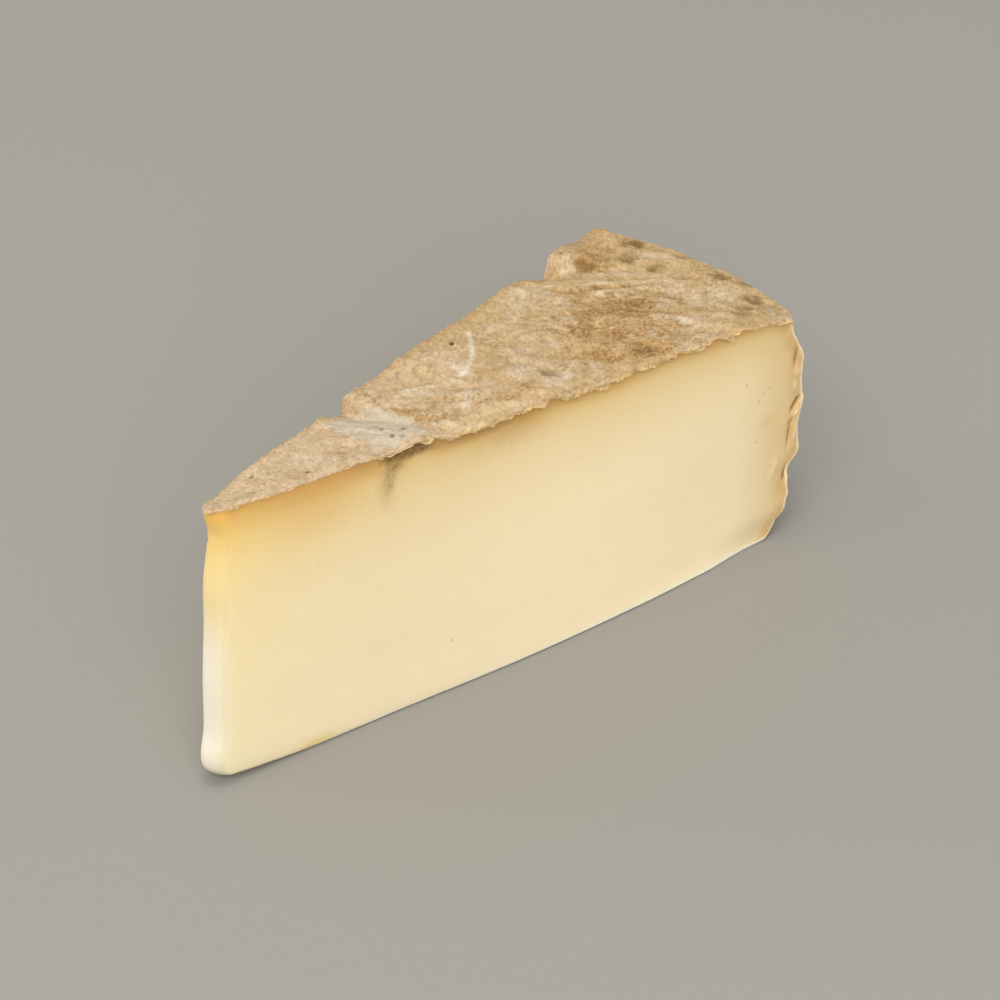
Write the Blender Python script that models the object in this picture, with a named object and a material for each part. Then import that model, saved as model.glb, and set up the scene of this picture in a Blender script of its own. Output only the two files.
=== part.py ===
# A wedge of hard pressed cheese, cut from a large wheel and lying on its cut underside.
# Metres, +Z up. +X runs from the narrow tip to the curved side of the wheel, and +Y to the rear cut.
# The origin is the middle of the wedge's box, at the height of the surface it lies on.

import math

import bmesh
import bpy

# Plan, seen from above
LENGTH = 0.1964             # tip to the middle of the wheel's side, at mid height
WHEEL_RADIUS = 0.200        # curve of the wheel's side
HALF_ANGLE = math.radians(9.57)     # half of the angle between the two cuts
NOSE_RADIUS = 0.0042        # the blunt tip
CORNER_WEAR = 0.0016        # how far the two upright edges of the wheel's side are worn back
FRONT_WEAR_TOP = 0.0034     # how much further the front one is worn back at the top
REAR_WEAR_TOP = 0.0004      # the same for the rear one
CORNER_SHARPNESS = 10       # a higher power keeps the wear closer to the edges
TOP_WEAR_SHARPNESS = 6

# Height
TIP_HEIGHT = 0.0836         # top of the rind at the tip
SIDE_HEIGHT = 0.0722        # top of the rind at the wheel's side
RIND_THICKNESS = 0.0019     # depth of the ragged rind edge that stands proud of the cuts

# Wheel's side, from the widest height up and down
WIDEST_HEIGHT = 0.043
SHOULDER_SET_BACK = 0.0042  # how far the side leans in at the top
SHOULDER_DROP = 0.0008
SHOULDER_LENGTH = 0.010
LEDGES = ((0.0262, 0.0026), (0.0086, 0.0022))   # height and depth of each step in the side's rind
LEDGE_WANDER = 0.0022       # rise and fall of each step around the wheel
LEDGE_WAVES = 4.0
LEDGE_SLOPE = 0.0030        # height over which a step reaches its depth
DENT_DEPTH = 0.0009         # soft dents between the steps
DENT_HEIGHT = 0.0034        # height over which a row of dents turns, upright and slanting
DENT_SLANT_HEIGHT = 0.0080
DENT_WAVES = (3.1, 2.6)
SIDE_FOOT_RADIUS = 0.0060   # in the middle of the side
CORNER_FOOT_RADIUS = 0.0076 # at its two corners
CORNER_FOOT_SHARPNESS = 4
SIDE_STRIP_WIDTH = 0.0034   # rind seen in section along the upright edges of the cuts
SIDE_STRIP_RISE = 0.0003
SIDE_STRIP_WAVE = 0.0042
SIDE_STRIP_UNEVENNESS = 0.8

# Tip
NOSE_FOOT_RADIUS = 0.0036
FOOT_LIFT = 0.0026          # the underside curls up a little below the tip
FOOT_LIFT_LENGTH = 0.027
HEAD_SET_BACK = 0.0021      # the tip leans back above this height
HEAD_HEIGHT = 0.057
HEAD_SLOPE = 0.018
HEAD_FLARE = 0.0013         # and stands out again right under the rind
HEAD_FLARE_FROM = 0.074
HEAD_FLARE_TO = 0.081
BELLY_REACH = 0.0010        # the lower half of the tip stands out a little
BELLY_FROM = 0.052
BELLY_FULL = 0.026
TOE_REACH = 0.0014          # and a little more just above the foot
TOE_HEIGHT = 0.0050
TOE_SPREAD = 0.0060

# Cut faces
CUT_BULGE = 0.0017          # the cuts stand out a little above the foot
CUT_BULGE_AT = 0.100
CUT_BULGE_LENGTH = 0.044
BULGE_TOP = 0.060           # the bulge is full at its foot and gone at its top
BULGE_FOOT = 0.006
CUT_DRAW_IN = 0.0014        # and draw in above the foot near the wheel's side
CUT_DRAW_IN_FROM = 0.135
CUT_DRAW_IN_TO = 0.175
FOOT_TUCK = 0.0017          # and once more close to the foot
FOOT_TUCK_HEIGHT = 0.011
FOOT_TUCK_FROM = 0.158
FOOT_TUCK_TO = 0.180
CUT_EDGE_RADIUS = 0.0009
CUT_RUN_IN = 0.0040         # length behind the tip over which the cuts take their relief

# Rind edge, proud of the cuts
LIP_REACH = 0.0011
LIP_REACH_AT_TIP = 0.0017
LIP_RUN_IN = 0.010          # length behind the tip over which its reach changes
LIP_MARGIN = 1.05           # the edge ends this many thicknesses down
LIP_CROWN = 0.55            # share by which its top is rounded off
LIP_CROWN_DEPTH = 0.4
RAGGEDNESS = 0.35
RAGGED_WAVES = ((0.0021, 0.0, 1.0), (0.0034, 1.0, 0.7), (0.0060, 0.0, 0.5))     # length, shift, share
SKIN_SHARPNESS = 8          # a higher power keeps the relief closer to the skin

# Cross groove in the rind, nearer the tip
GROOVE_AT = 0.0656          # where it crosses the middle of the wedge
GROOVE_SLANT = -0.20        # change along X for each unit along Y
GROOVE_DEPTH_REAR = 0.0048
GROOVE_DEPTH_FRONT = 0.0008
GROOVE_DEEPENS_FROM = -0.6  # place across, -1 at the front cut and 1 at the rear cut
GROOVE_RUN_IN = 0.0065      # long slope on the tip's side
GROOVE_WALL = 0.0017        # short wall on the other side

# Fold in the rind, at the rear corner of the wheel's side
FOLD_START = (0.1632, 0.0300)
FOLD_DIRECTION = math.radians(-48.0)
FOLD_DEPTH = 0.0054
FOLD_LENGTH = 0.030
FOLD_RUN_IN = 0.0080
FOLD_WALL = 0.0024
FOLD_RISE_WALLS = 1.5       # walls over which the swelling beyond the fold comes up
CORNER_RISE = 0.0008        # swelling beyond the fold
CORNER_RISE_AT = 0.008
CORNER_RISE_LENGTH = 0.026

# Broad swells of the rind: place along X, place across (-1 front, 1 rear), reach along X,
# reach across, and height
SWELLS = (
    (0.100, 1.0, 0.036, 1.1, 0.0012),
    (0.082, -1.0, 0.024, 1.0, 0.0014),
    (0.122, 1.0, 0.014, 0.8, -0.0008),
    (0.046, 1.0, 0.009, 0.8, -0.0012),
    (0.0825, 1.0, 0.007, 0.6, -0.0011),
    (0.010, -1.0, 0.016, 1.2, 0.0010),
    (0.006, 1.0, 0.012, 1.2, -0.0024),
    (0.1825, 1.0, 0.006, 0.5, -0.0018),
    (0.192, -0.25, 0.007, 0.28, 0.0016),
    (0.192, -0.75, 0.005, 0.14, -0.0012),
    (0.181, -1.0, 0.012, 0.6, 0.0018),
    (0.042, -1.0, 0.017, 0.9, 0.0015),
    (0.064, -1.0, 0.0055, 0.7, 0.0022),
    (0.105, -1.0, 0.0135, 0.9, 0.0017),
    (0.1485, -1.0, 0.023, 0.9, 0.0035),
    (0.170, -1.0, 0.007, 0.4, 0.0013),
    (0.182, -1.0, 0.008, 0.3, 0.0008),
)

# How finely the block is divided
BODY_STEP = 0.0050
FINE_BANDS = ((0.0, 0.005, 0.0010), (0.057, 0.0705, 0.0015), (0.154, 0.171, 0.0017), (0.1906, 0.1964, 0.0014))
ACROSS_STEPS = 14
EDGE_CROWDING = 0.4         # draws the lengthwise divisions towards the two cuts
FOOT_LEVELS = (0.0008, 0.0022, 0.0045, 0.0080)
WALL_LEVELS = 11
LIP_LEVELS = (0.0030, 0.0019, 0.0015, 0.0007, 0.0002)   # depths below the top
CUT_REACH = 1e-7            # how close to a dividing plane a corner counts as on it

PASTE_COLOUR = (0.84, 0.68, 0.38, 1.0)
PASTE_ROUGHNESS = 0.45
RIND_COLOUR = (0.50, 0.34, 0.18, 1.0)
RIND_ROUGHNESS = 0.85
SHARP_EDGE_ANGLE = math.radians(40.0)

NOSE_SWEEP = math.pi / 2 - HALF_ANGLE
APEX_BEHIND_TIP = NOSE_RADIUS / math.sin(HALF_ANGLE) - NOSE_RADIUS


def smooth_step(low, high, value):
    """0 below low, 1 above high, and an even curve between them."""
    share = min(max((value - low) / (high - low), 0.0), 1.0)
    return share * share * (3.0 - 2.0 * share)


def hill(value, centre, reach):
    """A rounded hill of height 1 at its centre."""
    return math.exp(-((value - centre) / reach) ** 2)


def edge_round(distance, radius):
    """How far a rounded edge has drawn in, at a distance from its flat."""
    if distance >= radius:
        return 0.0
    return radius - math.sqrt(radius ** 2 - (radius - distance) ** 2)


def cut_width(along):
    """Half the wedge's width between its two flat cuts."""
    return math.tan(HALF_ANGLE) * (along + APEX_BEHIND_TIP)


def nose_plan(across):
    """The tip's outline from above: an arc that meets both cuts."""
    sweep = across * NOSE_SWEEP
    return NOSE_RADIUS * (1.0 - math.cos(sweep)), NOSE_RADIUS * math.sin(sweep)


def side_plan(across):
    """The wheel's side from above: a shallow arc with worn corners."""
    reach = cut_width(LENGTH)
    worn = CORNER_WEAR * abs(across) ** CORNER_SHARPNESS
    corner = LENGTH - reach ** 2 / (2 * WHEEL_RADIUS) - CORNER_WEAR
    along = LENGTH - (across * reach) ** 2 / (2 * WHEEL_RADIUS) - worn
    return along, across * cut_width(corner)


def side_dents(height, across):
    """Depth of the soft dents in the wheel's side: a row of waves, stronger and weaker in turn."""
    row = math.sin(height / DENT_HEIGHT + DENT_WAVES[0] * across)
    return DENT_DEPTH * row * math.sin(DENT_WAVES[1] * across + height / DENT_SLANT_HEIGHT)


def side_set_back(height, across):
    """How far the wheel's side lies behind its widest point: shoulder, ledges, dents and foot."""
    above = max(height - WIDEST_HEIGHT, 0.0) / (SIDE_HEIGHT - WIDEST_HEIGHT)
    wear = FRONT_WEAR_TOP if across < 0.0 else REAR_WEAR_TOP
    set_back = (SHOULDER_SET_BACK + wear * across ** TOP_WEAR_SHARPNESS) * above ** 2
    for ledge_height, depth in LEDGES:
        wander = ledge_height + LEDGE_WANDER * math.sin(LEDGE_WAVES * (across + 1.0))
        set_back += depth * smooth_step(wander, wander - LEDGE_SLOPE, height)
    widening = (CORNER_FOOT_RADIUS - SIDE_FOOT_RADIUS) * across ** CORNER_FOOT_SHARPNESS
    return set_back + side_dents(height, across) + edge_round(height, SIDE_FOOT_RADIUS + widening)


def nose_set_back(height):
    """How far the tip lies behind its upright: head and its flare, belly, toe and a rounded foot."""
    head = HEAD_SET_BACK * smooth_step(HEAD_HEIGHT, HEAD_HEIGHT + HEAD_SLOPE, height)
    flare = -HEAD_FLARE * smooth_step(HEAD_FLARE_FROM, HEAD_FLARE_TO, height)
    belly = -BELLY_REACH * smooth_step(BELLY_FROM, BELLY_FULL, height)
    toe = -TOE_REACH * hill(height, TOE_HEIGHT, TOE_SPREAD)
    return head + flare + belly + toe + edge_round(height, NOSE_FOOT_RADIUS)


def swells(along, place):
    """Sum of the broad swells at one place on the rind."""
    total = 0.0
    for centre, side, reach, spread, height in SWELLS:
        total += height * hill(along, centre, reach) * hill(place, side, spread)
    return total


def groove(along, across, place):
    """The cross groove: a long slope down from the tip's side and a short wall up."""
    offset = along - (GROOVE_AT + GROOVE_SLANT * across)
    reach = GROOVE_RUN_IN if offset < 0.0 else GROOVE_WALL
    rear = smooth_step(GROOVE_DEEPENS_FROM, 1.0, place)
    depth = GROOVE_DEPTH_FRONT + (GROOVE_DEPTH_REAR - GROOVE_DEPTH_FRONT) * rear
    return -depth * hill(offset, 0.0, reach)


def fold(along, across):
    """The fold at the rear corner: a slope down, a short wall up and a swelling beyond it."""
    from_start = (along - FOLD_START[0], across - FOLD_START[1])
    run = from_start[0] * math.cos(FOLD_DIRECTION) + from_start[1] * math.sin(FOLD_DIRECTION)
    offset = from_start[1] * math.cos(FOLD_DIRECTION) - from_start[0] * math.sin(FOLD_DIRECTION)
    fading = math.exp(-max(run, 0.0) / FOLD_LENGTH)
    reach = FOLD_RUN_IN if offset < 0.0 else FOLD_WALL
    dip = -FOLD_DEPTH * fading * hill(offset, 0.0, reach)
    beyond = smooth_step(0.0, FOLD_WALL * FOLD_RISE_WALLS, offset)
    rise = CORNER_RISE * fading * beyond * hill(offset, CORNER_RISE_AT, CORNER_RISE_LENGTH)
    return dip + rise


def rind_height(along, across):
    """Height of the top of the rind over one place in the plan."""
    place = max(min(across / cut_width(along), 1.0), -1.0)
    slope = TIP_HEIGHT + (SIDE_HEIGHT - TIP_HEIGHT) * along / LENGTH
    relief = swells(along, place) + groove(along, across, place) + fold(along, across)
    near_side = along + across ** 2 / (2 * WHEEL_RADIUS)
    return slope + relief - SHOULDER_DROP * smooth_step(LENGTH - SHOULDER_LENGTH, LENGTH, near_side)


def ragged(along):
    """Uneven reach of the torn rind edge, about 1 on average."""
    waves = [share * math.sin(along / length + shift) for length, shift, share in RAGGED_WAVES]
    return 1.0 + RAGGEDNESS * sum(waves)


def lip(depth, along):
    """How far the rind edge stands proud of the cut, at a depth below the top."""
    if depth > RIND_THICKNESS * LIP_MARGIN:
        return 0.0
    crown = 1.0 - LIP_CROWN * (1.0 - min(depth / (LIP_CROWN_DEPTH * RIND_THICKNESS), 1.0)) ** 2
    reach = LIP_REACH_AT_TIP + (LIP_REACH - LIP_REACH_AT_TIP) * smooth_step(0.0, LIP_RUN_IN, along)
    return reach * crown * ragged(along)


def cut_relief(along, height, across):
    """How far a cut face stands out from its plane: bulge above the foot and the rind's section."""
    bulge = CUT_BULGE * hill(along, CUT_BULGE_AT, CUT_BULGE_LENGTH)
    bulge -= CUT_DRAW_IN * smooth_step(CUT_DRAW_IN_FROM, CUT_DRAW_IN_TO, along)
    bulge *= smooth_step(BULGE_TOP, BULGE_FOOT, height)
    tuck = smooth_step(FOOT_TUCK_FROM, FOOT_TUCK_TO, along) * smooth_step(FOOT_TUCK_HEIGHT, 0.0, height)
    to_side = side_plan(across)[0] - side_set_back(height, across) - along
    strip = SIDE_STRIP_RISE * smooth_step(SIDE_STRIP_WIDTH, SIDE_STRIP_WIDTH * 0.5, to_side)
    strip *= 1.0 + SIDE_STRIP_UNEVENNESS * math.sin(height / SIDE_STRIP_WAVE + across)
    return bulge + strip - FOOT_TUCK * tuck - edge_round(height, CUT_EDGE_RADIUS)


def wedge_point(run, across, level):
    """Carries a point of the plain block (run 0 to 1, across -1 to 1, level 0 to 1) to the wedge."""
    nose_x, nose_y = nose_plan(across)
    side_x, side_y = side_plan(across)
    top = rind_height((1.0 - run) * nose_x + run * side_x, (1.0 - run) * nose_y + run * side_y)
    height = level * top
    nose_x += nose_set_back(height)
    side_x -= side_set_back(height, across)
    x = (1.0 - run) * nose_x + run * side_x
    y = (1.0 - run) * nose_y + run * side_y
    skin = max(abs(across), 1.0 - max(x, 0.0) / (2 * NOSE_RADIUS)) ** SKIN_SHARPNESS
    relief = cut_relief(x, height, across) * smooth_step(0.0, CUT_RUN_IN, x)
    out = skin * (lip(top - height, x) + relief)
    sweep = across * NOSE_SWEEP
    x -= out * math.cos(sweep)
    y += out * math.sin(sweep)
    curl = max(1.0 - max(x, 0.0) / FOOT_LIFT_LENGTH, 0.0) ** 2
    return x, y, height + FOOT_LIFT * curl * (1.0 - level) ** 2


def run_stations():
    """Divisions along the wedge: crowded at the tip, the groove, the fold and the wheel's side."""
    places = []
    band_before_end = 0.0
    for start, end, step in FINE_BANDS:
        between = start - band_before_end
        steps = max(round(between / BODY_STEP), 1)
        places += [band_before_end + between * n / steps for n in range(1, steps)]
        steps = round((end - start) / step)
        places += [start + (end - start) * n / steps for n in range(steps + 1)]
        band_before_end = end
    return [place / LENGTH for place in places if 0.0 < place < LENGTH]


def across_stations():
    """Divisions from the front cut to the rear cut: crowded at both."""
    even = [2.0 * n / ACROSS_STEPS - 1.0 for n in range(1, ACROSS_STEPS)]
    return [(1.0 - EDGE_CROWDING) * u + EDGE_CROWDING * math.sin(u * math.pi / 2) for u in even]


def level_stations():
    """Divisions up the wedge: foot, wall and rind edge, as shares of the height."""
    low = FOOT_LEVELS[-1]
    high = TIP_HEIGHT - LIP_LEVELS[0]
    wall = [low + (high - low) * n / WALL_LEVELS for n in range(1, WALL_LEVELS)]
    edge = [TIP_HEIGHT - depth for depth in LIP_LEVELS]
    return [height / TIP_HEIGHT for height in list(FOOT_LEVELS) + wall + edge]


def divided_block():
    """A plain block from (0, -1, 0) to (1, 1, 1), divided by planes along all three axes."""
    block = bmesh.new()
    bmesh.ops.create_cube(block, size=1.0)
    bmesh.ops.scale(block, vec=(1.0, 2.0, 1.0), verts=block.verts)
    bmesh.ops.translate(block, vec=(0.5, 0.0, 0.5), verts=block.verts)
    cuts = [((place, 0.0, 0.0), (1.0, 0.0, 0.0)) for place in run_stations()]
    cuts += [((0.0, place, 0.0), (0.0, 1.0, 0.0)) for place in across_stations()]
    cuts += [((0.0, 0.0, place), (0.0, 0.0, 1.0)) for place in level_stations()]
    for point, normal in cuts:
        everything = block.verts[:] + block.edges[:] + block.faces[:]
        bmesh.ops.bisect_plane(block, geom=everything, dist=CUT_REACH, plane_co=point, plane_no=normal)
    return block


def is_rind(face):
    """True for a block face of the top, the rind edge or the wheel's side."""
    centre = face.calc_center_median()
    return centre.z > 1.0 - RIND_THICKNESS / TIP_HEIGHT or centre.x > 1.0 - CUT_REACH


def centre_on_foot(block):
    """Moves the middle of the wedge's box to the origin and its foot to zero height."""
    for axis in range(3):
        places = [vert.co[axis] for vert in block.verts]
        shift = min(places) if axis == 2 else (min(places) + max(places)) / 2
        for vert in block.verts:
            vert.co[axis] -= shift


def food_material(name, colour, roughness):
    """An opaque, softly shining surface of one colour."""
    material = bpy.data.materials.new(name)
    material.use_nodes = True
    shader = material.node_tree.nodes["Principled BSDF"]
    shader.inputs["Base Color"].default_value = colour
    shader.inputs["Roughness"].default_value = roughness
    shader.inputs["Metallic"].default_value = 0.0
    return material


def build_wedge():
    """The whole wedge as one closed solid, paste and rind together."""
    block = divided_block()
    for face in block.faces:
        face.material_index = 1 if is_rind(face) else 0
    for vert in block.verts:
        vert.co = wedge_point(*vert.co)
    centre_on_foot(block)
    mesh = bpy.data.meshes.new("cheese_wedge")
    block.to_mesh(mesh)
    block.free()
    mesh.materials.append(food_material("paste", PASTE_COLOUR, PASTE_ROUGHNESS))
    mesh.materials.append(food_material("rind", RIND_COLOUR, RIND_ROUGHNESS))
    mesh.shade_smooth()
    mesh.set_sharp_from_angle(angle=SHARP_EDGE_ANGLE)
    wedge = bpy.data.objects.new("cheese_wedge", mesh)
    bpy.context.scene.collection.objects.link(wedge)
    return wedge


def main():
    for leftover in list(bpy.data.objects):
        bpy.data.objects.remove(leftover)
    build_wedge()


main()
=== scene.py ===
# A wedge of pressed cheese with a mottled rind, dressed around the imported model.
# Shapes are worked out in millimetres from the foot of the tip: along to the wheel's side,
# across to the rear cut, and up. The finished mesh is in metres, in the model's own frame.

import math

import bpy
import numpy as np
from mathutils import Matrix, Vector


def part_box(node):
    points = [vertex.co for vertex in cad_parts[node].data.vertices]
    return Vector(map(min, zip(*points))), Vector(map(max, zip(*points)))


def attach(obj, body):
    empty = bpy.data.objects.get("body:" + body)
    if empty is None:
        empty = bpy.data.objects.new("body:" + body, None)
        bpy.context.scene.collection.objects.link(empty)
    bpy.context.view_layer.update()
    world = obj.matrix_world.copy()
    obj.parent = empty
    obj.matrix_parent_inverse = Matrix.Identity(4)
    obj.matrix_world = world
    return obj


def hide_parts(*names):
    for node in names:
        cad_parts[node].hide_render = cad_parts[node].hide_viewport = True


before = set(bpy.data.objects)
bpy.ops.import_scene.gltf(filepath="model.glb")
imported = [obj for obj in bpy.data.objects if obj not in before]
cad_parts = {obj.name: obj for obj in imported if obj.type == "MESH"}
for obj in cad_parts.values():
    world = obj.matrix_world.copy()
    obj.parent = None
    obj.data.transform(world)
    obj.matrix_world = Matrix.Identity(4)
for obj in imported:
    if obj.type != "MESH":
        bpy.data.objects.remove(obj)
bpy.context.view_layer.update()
print("the packed model is loaded")

millimetre = 0.001

# What can be changed about the view, the floor and the light; places in metres, in the model's frame
view = {
    "cameraAt": (-0.59010, -0.52965, 0.56859),
    "cameraLooks": (0.62386, 0.55026, -0.55499),
    "cameraUp": (0.39873, 0.38666, 0.83157),
    "lens": 129.6,
    "sensor": 36.0,
    "floorSize": 12.0,
    "floorDrop": 0.0001,
    "floorColour": (171, 168, 160),
    "floorBrightness": 0.64,
    "floorRoughness": 0.9,
    "floorSpecular": 0.2,
    "floorGrain": 0.0016,
    "floorGrainDarkens": 0.96,
    "skyColour": (1.0, 0.985, 0.96),
    "skyStrength": 0.75,
}

# Each light: where it hangs, the width of its face, its power in watts and its colour
lights = {
    "keyLight": {"at": (-2.30, -0.73, 2.50), "width": 1.1, "power": 24.0, "colour": (1.0, 0.985, 0.96)},
    "frontLight": {"at": (-2.25, -2.45, 2.30), "width": 3.0, "power": 114.0, "colour": (1.0, 0.99, 0.97)},
    "lowLight": {"at": (-1.71, 2.44, 0.36), "width": 1.2, "power": 34.0, "colour": (1.0, 0.99, 0.97)},
    "topLight": {"at": (-0.40, -0.30, 3.20), "width": 1.6, "power": 31.0, "colour": (1.0, 0.99, 0.97)},
}


def screenColour(colour, brightness=1.0):
    # A colour read off a screen, 0 to 255, turned into the light that Blender reckons with
    parts = np.array(colour, float) / 255.0
    linear = np.where(parts <= 0.04045, parts / 12.92, ((parts + 0.055) / 1.055) ** 2.4)
    return tuple(float(part) for part in linear * brightness) + (1.0,)


def addCamera():
    camera = bpy.data.objects.new("camera", bpy.data.cameras.new("camera"))
    camera.data.lens = view["lens"]
    camera.data.sensor_width = view["sensor"]
    forward = Vector(view["cameraLooks"]).normalized()
    right = forward.cross(Vector(view["cameraUp"])).normalized()
    up = right.cross(forward)
    turn = Matrix((right, up, -forward)).transposed().to_4x4()
    camera.matrix_world = Matrix.Translation(view["cameraAt"]) @ turn
    bpy.context.scene.collection.objects.link(camera)
    bpy.context.scene.camera = camera


def addLights():
    for name, choice in lights.items():
        lamp = bpy.data.lights.new(name, "AREA")
        lamp.shape = "DISK"
        lamp.size = choice["width"]
        lamp.energy = choice["power"]
        lamp.color = choice["colour"]
        lampObject = bpy.data.objects.new(name, lamp)
        lampObject.location = choice["at"]
        lampObject.rotation_euler = (-Vector(choice["at"])).to_track_quat("-Z", "Y").to_euler()
        bpy.context.scene.collection.objects.link(lampObject)
    sky = bpy.data.worlds.new("sky")
    sky.use_nodes = True
    background = sky.node_tree.nodes["Background"]
    background.inputs["Color"].default_value = view["skyColour"] + (1.0,)
    background.inputs["Strength"].default_value = view["skyStrength"]
    bpy.context.scene.world = sky
    bpy.context.scene.view_settings.view_transform = "Standard"


# Shader helpers. A tree is a material's node tree; each helper gives back the socket to go on from.
def newMaterial(name, roughness, specular):
    material = bpy.data.materials.new(name)
    material.use_nodes = True
    shader = material.node_tree.nodes["Principled BSDF"]
    shader.inputs["Roughness"].default_value = roughness
    shader.inputs["Specular IOR Level"].default_value = specular
    return material, material.node_tree, shader


def putInto(tree, socket, source):
    if isinstance(source, bpy.types.NodeSocket):
        tree.links.new(source, socket)
    else:
        socket.default_value = source


def storedValue(tree, name):
    node = tree.nodes.new("ShaderNodeAttribute")
    node.attribute_name = name
    return node.outputs["Fac"]


def mixedColour(tree, share, first, second, blend="MIX"):
    node = tree.nodes.new("ShaderNodeMix")
    node.data_type = "RGBA"
    node.blend_type = blend
    putInto(tree, node.inputs[0], share)
    putInto(tree, node.inputs[6], first)
    putInto(tree, node.inputs[7], second)
    return node.outputs[2]


def reckon(tree, operation, first, second, clamp=False):
    node = tree.nodes.new("ShaderNodeMath")
    node.operation = operation
    node.use_clamp = clamp
    putInto(tree, node.inputs[0], first)
    putInto(tree, node.inputs[1], second)
    return node.outputs[0]


def rescaled(tree, source, low, high, newLow=0.0, newHigh=1.0):
    node = tree.nodes.new("ShaderNodeMapRange")
    node.interpolation_type = "SMOOTHSTEP"
    putInto(tree, node.inputs["Value"], source)
    node.inputs["From Min"].default_value = low
    node.inputs["From Max"].default_value = high
    node.inputs["To Min"].default_value = newLow
    node.inputs["To Max"].default_value = newHigh
    return node.outputs["Result"]


def colourSteps(tree, source, steps):
    # steps: (place from 0 to 1, colour) in order
    node = tree.nodes.new("ShaderNodeValToRGB")
    ramp = node.color_ramp
    while len(ramp.elements) < len(steps):
        ramp.elements.new(0.5)
    for element, (place, colour) in zip(ramp.elements, steps):
        element.position = place
        element.color = colour
    putInto(tree, node.inputs["Fac"], source)
    return node.outputs["Color"]


def placeOnPiece(tree, turn=(0.0, 0.0, 0.0), stretch=(1.0, 1.0, 1.0), start=(0.0, 0.0, 0.0)):
    # Object coordinates from a starting place, turned so that a grain runs the right way
    # and drawn out along it
    coordinates = tree.nodes.new("ShaderNodeTexCoord")
    mapping = tree.nodes.new("ShaderNodeMapping")
    mapping.vector_type = "TEXTURE"
    mapping.inputs["Location"].default_value = start
    mapping.inputs["Rotation"].default_value = turn
    mapping.inputs["Scale"].default_value = stretch
    tree.links.new(coordinates.outputs["Object"], mapping.inputs["Vector"])
    return mapping.outputs["Vector"]


def cloudy(tree, place, size, detail=2.0, roughness=0.5):
    # Noise whose clouds are about size metres wide, 0 to 1 around 0.5
    node = tree.nodes.new("ShaderNodeTexNoise")
    node.inputs["Scale"].default_value = 1.0 / size
    node.inputs["Detail"].default_value = detail
    node.inputs["Roughness"].default_value = roughness
    tree.links.new(place, node.inputs["Vector"])
    return node.outputs["Fac"]


def nearness(tree, place, full=0.3):
    # 1 up to the full distance from the place's start, falling to 0 at a distance of 1
    node = tree.nodes.new("ShaderNodeVectorMath")
    node.operation = "LENGTH"
    tree.links.new(place, node.inputs[0])
    return rescaled(tree, node.outputs["Value"], full, 1.0, 1.0, 0.0)


def bumped(tree, height, distance, before=None):
    node = tree.nodes.new("ShaderNodeBump")
    node.inputs["Distance"].default_value = distance
    putInto(tree, node.inputs["Height"], height)
    if before is not None:
        tree.links.new(before, node.inputs["Normal"])
    return node.outputs["Normal"]


def laidOver(tree, colour, layers, tones):
    # Tones laid over a colour from the lowest up: each layer has a stored value, a tone and a strength
    for valueName, toneName, strength in layers:
        amount = reckon(tree, "MULTIPLY", storedValue(tree, valueName), strength)
        colour = mixedColour(tree, amount, colour, screenColour(tones[toneName], tones["brightness"]))
    return colour


def addFloor():
    reach = view["floorSize"] / 2
    corners = [(-reach, -reach), (reach, -reach), (reach, reach), (-reach, reach)]
    mesh = bpy.data.meshes.new("floor")
    mesh.from_pydata([(x, y, -view["floorDrop"]) for x, y in corners], [], [(0, 1, 2, 3)])
    material, tree, shader = newMaterial("floorPaper", view["floorRoughness"], view["floorSpecular"])
    grain = cloudy(tree, placeOnPiece(tree), view["floorGrain"])
    plain = screenColour(view["floorColour"], view["floorBrightness"])
    darker = tuple(part * view["floorGrainDarkens"] for part in plain[:3]) + (1.0,)
    putInto(tree, shader.inputs["Base Color"], mixedColour(tree, grain, darker, plain))
    mesh.materials.append(material)
    floor = bpy.data.objects.new("floor", mesh)
    bpy.context.scene.collection.objects.link(floor)


addCamera()
addLights()
addFloor()
print("camera, lights and floor are in place")


# The wedge's driving sizes, in millimetres, the same as the solid's. A pair is where a change starts
# and ends, or a hill's centre and reach.
wedge = {
    "length": 196.4, "wheelRadius": 200.0, "halfAngle": math.radians(9.57), "noseRadius": 4.2,
    "cornerWear": 1.6, "frontWearTop": 3.4, "rearWearTop": 0.4, "tipHeight": 83.6, "sideHeight": 72.2,
    "widestHeight": 43.0, "shoulderSetBack": 4.2, "shoulderDrop": 0.8, "shoulderRun": 10.0,
    # height and depth of each step in the side's rind, and the soft dents that lie in rows on it
    "ledges": ((26.2, 2.6), (8.6, 2.2)), "ledgeWander": 2.2, "ledgeWaves": 4.0, "ledgeSlope": 3.0,
    "evenSlopeFrom": 1.4,                       # where the even slope starts, by the upper step's height
    "dentDepth": 0.9, "dentRow": 3.4, "dentRowSlant": 3.1, "dentSwell": 8.0, "dentSwellSlant": 2.6,
    "sideFootRadius": 6.0, "cornerFootRadius": 7.6,
    "noseFootRadius": 3.6, "footLift": 2.8, "footLiftLength": 36.0,
    "headSetBack": 2.1, "headLeans": (57.0, 75.0), "headFlare": 1.3, "headFlares": (74.0, 81.0),
    "nickDepth": 0.5, "nickUp": (71.5, 0.9), "nickAcross": (0.6, 0.3),
    "bellyReach": 1.0, "bellyFades": (26.0, 52.0), "toeReach": 1.4, "toeUp": (5.0, 6.0),
    "cutBulge": 1.7, "cutBulgeAt": (100.0, 44.0), "cutDrawIn": 1.4, "cutDrawsIn": (135.0, 175.0),
    "footTuck": 1.7, "footTuckHeight": 11.0, "footTucks": (158.0, 180.0),
    "bulgeFades": (6.0, 60.0), "cutEdgeRadius": 0.9, "cutReliefFull": 4.0,
    "boxEnd": 2.389, "aside": -0.181,           # where the tip lies from the box's end and middle
}

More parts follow.
